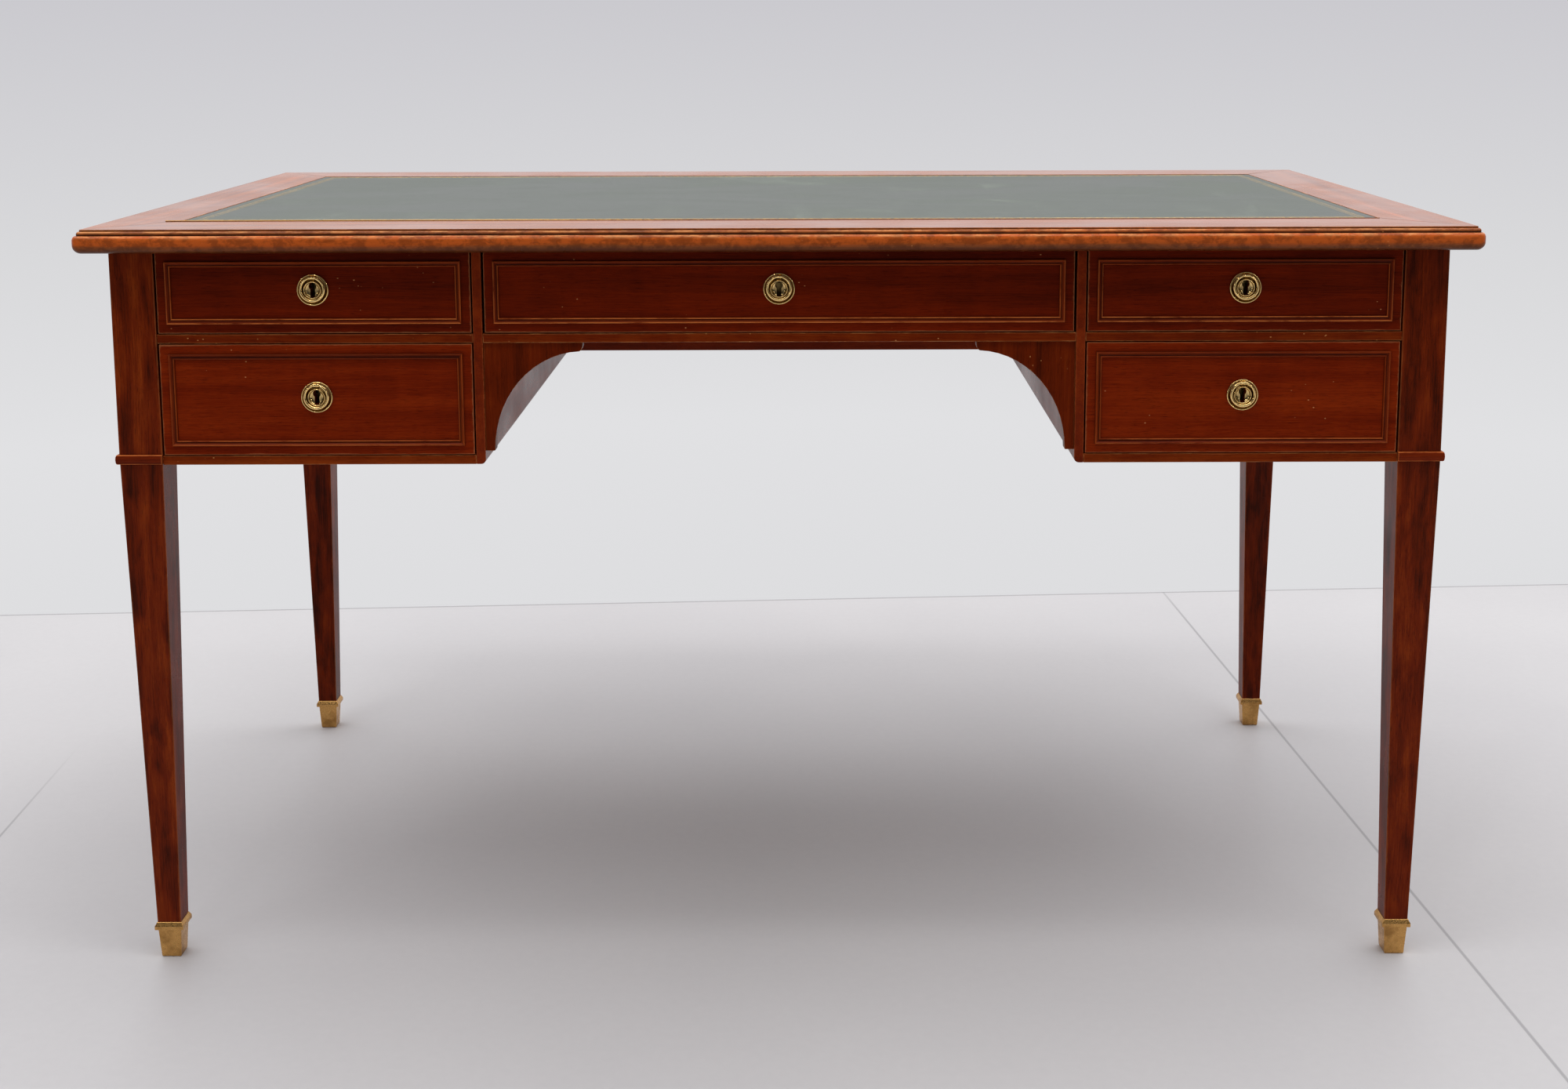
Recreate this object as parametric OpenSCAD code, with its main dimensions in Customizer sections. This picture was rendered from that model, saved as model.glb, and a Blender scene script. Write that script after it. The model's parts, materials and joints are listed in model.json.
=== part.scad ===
// Writing desk with five drawers, a leather-lined top and tapered legs in brass sabots.
// Origin: middle of the floor rectangle under the desktop. +X right, +Y back, +Z up.
// The drawers open towards -Y.

/* [Overall] */
// Width across the moulded edge of the desktop
top_w = 1403; // [1360:1:1440]
// Depth across the moulded edge of the desktop
top_d = 781; // [760:1:820]
// Height of the desktop above the floor
height = 782; // [770:1:800]
// Thickness of the desktop
top_t = 24; // [24:1:26]
// Overhang of the desktop past the posts, all round
overhang = 28; // [22:0.5:32]

/* [Legs] */
// Side of the square posts
post = 44; // [42:1:46]
// Side of the leg where the taper starts, under the collar
leg_top = 43.6; // [40:0.1:43.8]
// Side of the leg where it enters the sabot
leg_tip = 24.7; // [24:0.1:25]
// Height of the underside of the drawer case
case_z = 538.5; // [530:0.5:546]
// Height of the moulded collar
collar_h = 10; // [8:0.5:14]
// How far the collar stands out from the post
collar_p = 3.4; // [2:0.1:5]
// Height of the brass sabot
sabot_h = 40; // [36:1:46]
// Side of the sabot's square flange
sabot_flange = 30.2; // [28:0.2:32]
// Side of the sabot's sole
sabot_sole = 19.4; // [19:0.2:21]

/* [Case] */
// Thickness of the dust boards and of the two partitions
board_t = 9.5; // [8:0.5:10]
// Thickness of the side panels
side_t = 16; // [14:1:18]
// Thickness of the back panel
back_t = 14; // [10:1:16]
// Distance from the middle of the desk to a partition's inner face
knee_half = 300; // [290:1:310]
// Front height of the upper drawers and of the centre drawer
upper_h = 82.7; // [78:0.1:88]
// Gap between a drawer front and the frame around it
gap = 1; // [0.6:0.1:1.4]

/* [Drawers] */
// Thickness of a drawer front
front_t = 18; // [16:1:20]
// Thickness of a drawer's sides and back
wall_t = 9; // [8:0.5:11]
// Length of a drawer from its face to the back of its box
drawer_len = 614; // [560:2:640]
// Distance of the applied moulding from the edges of a drawer front
frame_m = 9.5; // [8:0.5:12]
// Width of the applied moulding
frame_w = 6; // [5:0.5:7]
// How far the applied moulding stands out
frame_p = 3; // [2:0.2:3.4]

/* [Locks and pulls] */
// Radius of the round pull plate
plate_r = 16; // [15.5:0.1:17]
// Radius of the ring's centre line
ring_r = 11.8; // [11.6:0.1:12]
// Radius of the ring's wire
wire_r = 1.6; // [1.4:0.1:1.7]
// Radius of the ring's pivot pin
pin_r = 0.8; // [0.7:0.05:0.9]
// Radial running clearance of the pivot pin in its knuckle
pin_clear = 0.05; // [0.03:0.01:0.08]
// Width of a lock case
lock_w = 50; // [44:1:56]
// Depth of a lock case
lock_t = 8.5; // [8:0.1:9]

/* [Hidden] */
$fn = 48;

// --- main reference planes ---
cx = top_w/2 - overhang;          // outer face of the posts, X
cy = top_d/2 - overhang;          // outer face of the posts, Y
pcx = cx - post/2;                // post centre, X
pcy = cy - post/2;                // post centre, Y
z_top = height - top_t;           // underside of the desktop
z_col = case_z + 1;               // underside of the collar
side_out = cx - 3.5;              // outer face of a side panel
side_in = side_out - side_t;      // inner face of a side panel
back_out = cy - 10;               // outer face of the back panel
back_in = back_out - back_t;      // inner face of the back panel
rail_y = -cy + 1;                 // front edge of rails, boards and partitions
part_out = knee_half + board_t;   // outer face of a partition

// --- heights of the drawer stack ---
zb1 = case_z + board_t;           // top of the bottom boards
zu1 = z_top - gap;                // top of the upper fronts
zu0 = zu1 - upper_h;              // bottom of the upper fronts
zm1 = zu0 - gap;                  // top of the middle boards and the centre rail
zm0 = zm1 - board_t;              // underside of the middle boards
zl1 = zm0 - gap;                  // top of the lower fronts
zl0 = zb1 + gap;                  // bottom of the lower fronts

// --- drawers: [centre X, width, bottom Z, height, height of the surface it runs on] ---
side_x0 = part_out + 1.5;
side_x1 = pcx - post/2 - 2;
side_xc = (side_x0 + side_x1)/2;
side_dw = side_x1 - side_x0;
DLU = [-side_xc, side_dw, zu0, upper_h, zm1];
DLL = [-side_xc, side_dw, zl0, zl1 - zl0, zb1];
DCC = [0, 2*knee_half - 5, zu0, upper_h, zm1];
DRU = [side_xc, side_dw, zu0, upper_h, zm1];
DRL = [side_xc, side_dw, zl0, zl1 - zl0, zb1];

yf = -cy + 0.5;                   // face of the drawer fronts
yb = yf + front_t;                // back of the drawer fronts
bolt_y = yb - lock_t/2;           // middle plane of the lock bolts
pull_up = 3;                      // pull plate centre above the middle of the front
key_up = 3.6;                     // keyhole circle above the plate centre
ring_up = 0.8;                    // ring centre above the plate centre
ring_y = 4.5;                     // ring's middle plane in front of the drawer face
bolt_w = 16;
bolt_th = 3.6;
bolt_l = 23.6;

function pull_z(d) = d[2] + d[3]/2 + pull_up;
function lock_h(d) = d[2] + d[3] - pull_z(d) - key_up + 14;

// --- desktop edge: outward offset (0 = outermost) and height under the surface ---
edge_n = 5;
function edge_side() = concat(
  [[-8, 0]],
  [for (i = [0:edge_n]) [-8 + 3.5*sin(90*i/edge_n), -4.5 + 2.9*cos(90*i/edge_n)]],
  [for (i = [0:edge_n]) [-4.5 + 4.5*sin(90*i/edge_n), -11 + 5*cos(90*i/edge_n)]],
  [for (i = [0:edge_n]) [-9 + 9*cos(90*i/edge_n), -15.8 - (top_t - 15.8)*sin(90*i/edge_n)]]);
function edge_poly(w) = concat(
  [for (p = edge_side()) [w/2 + p[0], height + p[1]]],
  [for (i = [len(edge_side()) - 1:-1:0]) [-w/2 - edge_side()[i][0], height + edge_side()[i][1]]]);

leather_x = top_w/2 - 81.5;
leather_y0 = -top_d/2 + 91.5;
leather_y1 = top_d/2 - 83.5;
leather_t = 1.2;
leather_z = height - 0.5;
mitre = 0.05;                     // half of the hairline joint between mitred pieces
glue = 0.05;                      // glue line between the boards of a drawer box

// --- small helpers ---
module along_y(l) rotate([90, 0, 0]) linear_extrude(height = l, center = true) children();
module along_x(l) rotate([90, 0, 90]) linear_extrude(height = l, center = true) children();
module square_turned(l, pts) intersection() {
  along_y(l) polygon(pts);
  along_x(l) polygon(pts);
}
function mirrored(p) = concat(p, [for (i = [len(p) - 1:-1:0]) [-p[i][0], p[i][1]]]);
module box(a, b) translate(a) cube([b[0] - a[0], b[1] - a[1], b[2] - a[2]]);

// --- desktop ---
module desktop_solid() intersection() {
  along_y(top_d + 2) polygon(edge_poly(top_w));
  along_x(top_w + 2) polygon(edge_poly(top_d));
  linear_extrude(height = height + 1) hull_corners(top_w, top_d, 8);
}
module hull_corners(w, d, r) union() {
  square([w - 2*r, d], center = true);
  square([w, d - 2*r], center = true);
  for (sx = [-1, 1], sy = [-1, 1]) translate([sx*(w/2 - r), sy*(d/2 - r)]) circle(r = r);
}
screw_xy = concat(
  [for (s = [-1, 1], y = [-200, 0, 200]) [s*(side_in - 12.5), y]],
  [for (x = [-470, -150, 150, 470]) [x, back_in - 12.5]]);

module border_plan(k) {
  X = top_w/2 + 1; Y = top_d/2 + 1; a = leather_x; m = mitre;
  if (k == 0) polygon([[-X + m, -Y], [X - m, -Y], [a - m, leather_y0], [-a + m, leather_y0]]);
  if (k == 1) polygon([[-X + m, Y], [-a + m, leather_y1], [a - m, leather_y1], [X - m, Y]]);
  if (k == 2) polygon([[X, -Y + m], [X, Y - m], [a, leather_y1 - m], [a, leather_y0 + m]]);
  if (k == 3) polygon([[-X, -Y + m], [-a, leather_y0 + m], [-a, leather_y1 - m], [-X, Y - m]]);
}
module desktop_border() color([0.52, 0.27, 0.10]) for (k = [0:3]) difference() {
  intersection() {
    desktop_solid();
    linear_extrude(height = height + 1) border_plan(k);
  }
  if (k == 0) for (d = [DLU, DCC, DRU])
    box([d[0] - 9.5, bolt_y - 3, z_top - 1], [d[0] + 9.5, bolt_y + 3, z_top + 7]);
  if (k > 0) for (p = screw_xy)
    translate([p[0], p[1], z_top - 1]) cylinder(r = 2, h = 14);
}
module desktop_panel() color([0.42, 0.22, 0.10])
  box([-leather_x, leather_y0, z_top], [leather_x, leather_y1, leather_z - leather_t]);
module leather_inset() color([0.10, 0.22, 0.15])
  box([-leather_x, leather_y0, leather_z - leather_t], [leather_x, leather_y1, leather_z]);

// --- legs, collars and sabots ---
tenon_a = 20.4;                   // tenon side at the top of the sabot
tenon_b = 15.6;                   // tenon side at its end
sole_t = 3;
function leg_half() = [[post/2, z_top], [post/2, z_col], [leg_top/2, z_col], [leg_tip/2, sabot_h],
  [tenon_a/2, sabot_h], [tenon_b/2, sole_t]];
module leg(sx, sy) color([0.33, 0.13, 0.05]) translate([sx*pcx, sy*pcy, 0])
  square_turned(80, mirrored(leg_half()));

function collar_half() = let (h = collar_h, b = post/2, p = collar_p) [[b + p - 1.6, z_col + h],
  [b + p - 0.8, z_col + h - 0.5], [b + p - 0.2, z_col + h*0.78], [b + p, z_col + h*0.5],
  [b + p - 0.2, z_col + h*0.22], [b + p - 0.8, z_col + 0.5], [b + p - 1.6, z_col]];
module collar(sx, sy) translate([sx*pcx, sy*pcy, 0]) difference() {
  square_turned(80, mirrored(collar_half()));
  translate([sx < 0 ? -post/2 : -post/2 - 20, sy < 0 ? -post/2 : -post/2 - 20, z_col - 1])
    cube([post + 20, post + 20, collar_h + 2]);
  // the collar stops flush with the post's inner faces
  translate([sx < 0 ? post/2 : -post/2 - 20, -60, z_col - 1]) cube([20, 120, collar_h + 2]);
  translate([-60, sy < 0 ? post/2 : -post/2 - 20, z_col - 1]) cube([120, 20, collar_h + 2]);
}
module leg_collars() color([0.36, 0.14, 0.05]) for (sx = [-1, 1], sy = [-1, 1]) collar(sx, sy);

function sabot_half() = [[12.9, sabot_h], [sabot_flange/2, sabot_h - 4], [sabot_flange/2, sabot_h - 8],
  [12.2, sabot_h - 8.6], [sabot_sole/2 + 0.6, 1.2], [sabot_sole/2, 0]];
function tenon_half() = [[tenon_a/2, sabot_h], [tenon_b/2, sole_t]];
module sabot(sx, sy) translate([sx*pcx, sy*pcy, 0]) difference() {
  square_turned(60, mirrored(sabot_half()));
  square_turned(40, mirrored(concat([[tenon_a/2, sabot_h + 1]], tenon_half())));
}
module brass_sabots() color([0.78, 0.60, 0.28]) for (sx = [-1, 1], sy = [-1, 1]) sabot(sx, sy);

// --- case ---
module side_panel(s) color([0.30, 0.10, 0.05])
  box([s > 0 ? side_in : -side_out, -pcy + post/2, case_z], [s > 0 ? side_out : -side_in, pcy - post/2, z_top]);
module back_panel() color([0.28, 0.10, 0.05])
  box([-pcx + post/2, back_in, case_z], [pcx - post/2, back_out, z_top]);
module partition(s) color([0.28, 0.10, 0.05])
  box([s > 0 ? knee_half : -part_out, rail_y, case_z], [s > 0 ? part_out : -knee_half, back_in, z_top]);
module board(s, z0) translate([0, 0, z0]) linear_extrude(height = board_t)
  polygon([for (p = [[part_out, rail_y], [pcx - post/2, rail_y], [pcx - post/2, -pcy + post/2],
    [side_in, -pcy + post/2], [side_in, pcy - post/2], [pcx - post/2, pcy - post/2],
    [pcx - post/2, back_in], [part_out, back_in]]) [s*p[0], p[1]]]);
module dust_board(s) color([0.34, 0.16, 0.07]) difference() {
  board(s, zm0);
  box([s*side_xc - 9.5, bolt_y - 3, zm0 - 1], [s*side_xc + 9.5, bolt_y + 3, zm0 + 6.3]);
}
module bottom_board(s) color([0.34, 0.16, 0.07]) board(s, case_z);
module centre_rail() color([0.30, 0.11, 0.05])
  box([-knee_half, rail_y, zm0], [knee_half, rail_y + 32, zm1]);

// quarter-ellipse bracket under the centre rail, thinning down the partition
br_w = 100.5;                     // reach from the partition to the tip
br_a = 91;                        // half-axes of the curve
br_b = 102;
br_z = zm0 - 112;                 // foot of the bracket
br_n = 14;
function bracket_poly() = concat(
  [[knee_half, zm0], [knee_half, br_z], [knee_half - br_w + br_a + 0.5, br_z]],
  [for (i = [0:br_n]) [knee_half - br_w + br_a*cos(88*i/br_n), br_z + 0.6 + br_b*sin(88*i/br_n)]],
  [[knee_half - br_w + 1.2, zm0 - 7.6], [knee_half - br_w, zm0 - 4.5], [knee_half - br_w, zm0]]);
module kneehole_brackets() color([0.30, 0.11, 0.05]) for (s = [-1, 1])
  translate([0, rail_y + 10, 0]) along_y(14) polygon([for (p = bracket_poly()) [s*p[0], p[1]]]);

module drawer_runners() color([0.60, 0.45, 0.28]) for (s = [-1, 1]) {
  box([s > 0 ? knee_half - 14 : -knee_half, rail_y + 32, zm0], [s > 0 ? knee_half : -knee_half + 14, back_in, zm1]);
  for (z = [zb1, zm1]) box([s > 0 ? side_x1 - 0.3 : -side_in, -pcy + post/2, z],
    [s > 0 ? side_in : -side_x1 + 0.3, pcy - post/2, z + 12]);
}
module drawer_stops() color([0.60, 0.45, 0.28]) for (d = [DLU, DLL, DCC, DRU, DRL], o = [-100, 100])
  box([d[0] + o - 15, yb + 0.3, d[4]], [d[0] + o + 15, yb + 10.3, d[4] + 5]);
module corner_blocks() color([0.60, 0.45, 0.28]) for (p = screw_xy) difference() {
  box([p[0] - 12.5, p[1] - 12.5, z_top - 25], [p[0] + 12.5, p[1] + 12.5, z_top]);
  translate([p[0], p[1], z_top - 30]) cylinder(r = 2, h = 40);
}
module top_screws() color([0.55, 0.55, 0.55]) for (p = screw_xy) translate([p[0], p[1], 0]) union() {
  translate([0, 0, z_top - 27]) cylinder(r = 4, h = 2);
  translate([0, 0, z_top - 26]) cylinder(r = 2, h = 38.5);
}

// --- applied moulding: a mitred frame of four strips, drawn in XY and standing out along +Z ---
module strip(x0, y0, x1, y1, k, a, b, h) {
  m = mitre;
  linear_extrude(height = h) {
    if (k == 0) polygon([[x0 + a + m, y0 + a], [x1 - a - m, y0 + a], [x1 - b - m, y0 + b], [x0 + b + m, y0 + b]]);
    if (k == 1) polygon([[x0 + a + m, y1 - a], [x0 + b + m, y1 - b], [x1 - b - m, y1 - b], [x1 - a - m, y1 - a]]);
    if (k == 2) polygon([[x0 + a, y0 + a + m], [x0 + b, y0 + b + m], [x0 + b, y1 - b - m], [x0 + a, y1 - a - m]]);
    if (k == 3) polygon([[x1 - a, y0 + a + m], [x1 - a, y1 - a - m], [x1 - b, y1 - b - m], [x1 - b, y0 + b + m]]);
  }
}
module frame(x0, y0, x1, y1) for (k = [0:3]) union() {
  strip(x0, y0, x1, y1, k, 0, frame_w, frame_p*0.5);
  strip(x0, y0, x1, y1, k, frame_w*0.12, frame_w*0.88, frame_p*0.8);
  strip(x0, y0, x1, y1, k, frame_w*0.3, frame_w*0.7, frame_p);
}
module panel_mouldings() color([0.36, 0.14, 0.05]) {
  for (s = [-1, 1]) translate([s*side_out, 0, 0]) rotate([90, 0, s > 0 ? 90 : -90])
    frame(-pcy + post/2 + 12, case_z + 12, pcy - post/2 - 12, z_top - 12);
  for (f = [[-pcx + post/2 + 12, -part_out - 6], [-knee_half + 6, knee_half - 6], [part_out + 6, pcx - post/2 - 12]])
    translate([0, back_out, 0]) rotate([90, 0, 180]) frame(f[0], case_z + 12, f[1], z_top - 12);
}

// --- drawers ---
module keyhole(d, y0, y1) translate([d[0], y1, pull_z(d)]) rotate([90, 0, 0]) linear_extrude(height = y1 - y0)
  union() {
    translate([0, key_up]) circle(r = 3.8);
    translate([-2.7, -7.4]) square([5.4, 11]);
  }
module drawer_front(d) color([0.27, 0.06, 0.03]) difference() {
  box([d[0] - d[1]/2, yf, d[2]], [d[0] + d[1]/2, yb, d[2] + d[3]]);
  box([d[0] - lock_w/2, yb - lock_t, d[2] + d[3] - lock_h(d)], [d[0] + lock_w/2, yb + 1, d[2] + d[3] + 1]);
  keyhole(d, yf - 1, yb);
}
module drawer_box(d) color([0.66, 0.50, 0.32]) {
  x0 = d[0] - d[1]/2 + 1.5; x1 = d[0] + d[1]/2 - 1.5; y1 = yf + drawer_len;
  z0 = d[4] + 0.4; z1 = d[2] + d[3] - 8;
  box([x0, yb, z0], [x0 + wall_t, y1, z1]);
  box([x1 - wall_t, yb, z0], [x1, y1, z1]);
  box([x0 + wall_t + glue, yb, z0 + 8], [x1 - wall_t - glue, y1, z0 + 13]);
  box([x0 + wall_t + glue, y1 - wall_t, z0 + 13 + glue], [x1 - wall_t - glue, y1, z1 - 5]);
}
module front_moulding(d) color([0.40, 0.13, 0.05]) translate([0, yf, 0]) rotate([90, 0, 0])
  frame(d[0] - d[1]/2 + frame_m, d[2] + frame_m, d[0] + d[1]/2 - frame_m, d[2] + d[3] - frame_m);
module lock_case(d) color([0.70, 0.56, 0.30]) {
  z1 = d[2] + d[3]; kz = pull_z(d) + key_up;
  union() {
    difference() {
      box([d[0] - lock_w/2, yb - lock_t, z1 - lock_h(d)], [d[0] + lock_w/2, yb, z1]);
      box([d[0] - bolt_w/2 - 0.3, bolt_y - bolt_th/2 - 0.3, z1 - bolt_l - 0.8],
          [d[0] + bolt_w/2 + 0.3, bolt_y + bolt_th/2 + 0.3, z1 + 1]);
      box([d[0] - 11, bolt_y - 2.6, kz - 12], [d[0] + 11, bolt_y + 2.6, z1 - bolt_l + 4]);
      keyhole(d, yb - lock_t - 1, bolt_y);
    }
    translate([d[0], bolt_y + 2.7, kz]) rotate([90, 0, 0]) cylinder(r = 1.2, h = 6);
  }
}
module lock_bolt(d) color([0.74, 0.62, 0.36]) {
  z1 = d[2] + d[3];
  difference() {
    box([d[0] - bolt_w/2, bolt_y - bolt_th/2, z1 - bolt_l - 0.4], [d[0] + bolt_w/2, bolt_y + bolt_th/2, z1 - 0.4]);
    box([d[0] - 3, bolt_y - bolt_th, z1 - bolt_l - 2], [d[0] + 3, bolt_y + bolt_th, z1 - bolt_l + 4]);
  }
}
// turned plate: rim, channel for the ring, raised boss with a dished well
function plate_profile() = [[0, 0], [plate_r, 0], [plate_r, 2.2], [plate_r - 0.4, 2.6], [plate_r - 1.2, 2.6],
  [plate_r - 1.6, 2.2], [plate_r - 1.8, 1.4], [9, 1.4], [9, 4], [8.6, 4.4], [8.1, 4.4], [7.7, 4], [6.6, 1.6], [0, 1.1]];
module pull_plate(d) color([0.80, 0.62, 0.28]) translate([d[0], yf, pull_z(d)]) rotate([90, 0, 0])
  difference() {
    union() {
      rotate_extrude() polygon(plate_profile());
      translate([-3.3, ring_up + ring_r - 1.75, 1]) cube([6.6, 3.5, ring_y + 1.6 - 1]);
    }
    translate([0, 0, -1]) linear_extrude(height = 8) union() {
      translate([0, key_up]) circle(r = 3.8);
      translate([-2.7, -7.4]) square([5.4, 11]);
    }
    translate([-4, ring_up + ring_r, ring_y]) rotate([0, 90, 0]) cylinder(r = pin_r + pin_clear, h = 8);
  }
module pull_ring(d) color([0.85, 0.68, 0.32]) translate([d[0], yf - ring_y, pull_z(d) + ring_up])
  rotate([90, 0, 0]) union() {
    difference() {
      rotate_extrude() translate([ring_r, 0]) circle(r = wire_r, $fn = 32);
      translate([-3.7, ring_r - 4, -3]) cube([7.4, 8, 6]);
    }
    translate([-4.7, ring_r, 0]) rotate([0, 90, 0]) cylinder(r = pin_r, h = 9.4, $fn = 32);
  }

desktop_panel();
desktop_border();
leather_inset();
leg(-1, -1);  // leg_front_left
leg(1, -1);  // leg_front_right
leg(-1, 1);  // leg_back_left
leg(1, 1);  // leg_back_right
leg_collars();
brass_sabots();
side_panel(-1);  // side_panel_left
side_panel(1);  // side_panel_right
back_panel();
partition(-1);  // partition_left
partition(1);  // partition_right
dust_board(-1);  // dust_board_left
dust_board(1);  // dust_board_right
bottom_board(-1);  // bottom_board_left
bottom_board(1);  // bottom_board_right
centre_rail();
kneehole_brackets();
drawer_runners();
drawer_stops();
corner_blocks();
top_screws();
panel_mouldings();
drawer_front(DLU);  // left_upper_drawer_front
drawer_box(DLU);  // left_upper_drawer_box
front_moulding(DLU);  // left_upper_front_moulding
lock_case(DLU);  // left_upper_lock_case
lock_bolt(DLU);  // left_upper_lock_bolt
pull_plate(DLU);  // left_upper_pull_plate
pull_ring(DLU);  // left_upper_pull_ring
drawer_front(DLL);  // left_lower_drawer_front
drawer_box(DLL);  // left_lower_drawer_box
front_moulding(DLL);  // left_lower_front_moulding
lock_case(DLL);  // left_lower_lock_case
lock_bolt(DLL);  // left_lower_lock_bolt
pull_plate(DLL);  // left_lower_pull_plate
pull_ring(DLL);  // left_lower_pull_ring
drawer_front(DCC);  // centre_drawer_front
drawer_box(DCC);  // centre_drawer_box
front_moulding(DCC);  // centre_front_moulding
lock_case(DCC);  // centre_lock_case
lock_bolt(DCC);  // centre_lock_bolt
pull_plate(DCC);  // centre_pull_plate
pull_ring(DCC);  // centre_pull_ring
drawer_front(DRU);  // right_upper_drawer_front
drawer_box(DRU);  // right_upper_drawer_box
front_moulding(DRU);  // right_upper_front_moulding
lock_case(DRU);  // right_upper_lock_case
lock_bolt(DRU);  // right_upper_lock_bolt
pull_plate(DRU);  // right_upper_pull_plate
pull_ring(DRU);  // right_upper_pull_ring
drawer_front(DRL);  // right_lower_drawer_front
drawer_box(DRL);  // right_lower_drawer_box
front_moulding(DRL);  // right_lower_front_moulding
lock_case(DRL);  // right_lower_lock_case
lock_bolt(DRL);  // right_lower_lock_bolt
pull_plate(DRL);  // right_lower_pull_plate
pull_ring(DRL);  // right_lower_pull_ring
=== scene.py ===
import bpy, bmesh, json, math, random
from mathutils import Vector, Matrix, noise


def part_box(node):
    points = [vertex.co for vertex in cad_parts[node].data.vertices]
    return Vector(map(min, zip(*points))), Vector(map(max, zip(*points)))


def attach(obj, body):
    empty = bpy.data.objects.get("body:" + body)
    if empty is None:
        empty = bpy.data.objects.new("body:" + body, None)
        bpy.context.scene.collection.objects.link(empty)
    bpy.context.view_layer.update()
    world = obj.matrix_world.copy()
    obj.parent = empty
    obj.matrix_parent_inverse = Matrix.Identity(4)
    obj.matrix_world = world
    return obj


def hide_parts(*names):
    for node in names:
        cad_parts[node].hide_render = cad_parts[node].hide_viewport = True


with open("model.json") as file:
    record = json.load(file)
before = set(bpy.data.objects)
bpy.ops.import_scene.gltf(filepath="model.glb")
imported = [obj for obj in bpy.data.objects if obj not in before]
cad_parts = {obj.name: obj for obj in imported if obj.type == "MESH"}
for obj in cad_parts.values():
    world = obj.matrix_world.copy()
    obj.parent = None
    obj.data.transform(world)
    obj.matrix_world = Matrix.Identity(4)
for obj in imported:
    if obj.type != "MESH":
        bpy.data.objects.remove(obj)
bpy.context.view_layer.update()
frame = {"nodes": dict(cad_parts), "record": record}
REC = frame["record"]
NODES = frame["nodes"]
BODY = {n: b for b, ns in REC["behaviour"]["bodies"].items() for n in ns}
SLOT = {s["node"]: s["material_slot"] for s in REC["subparts"]}
SCENE = bpy.context.scene
MM = 0.001


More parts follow.
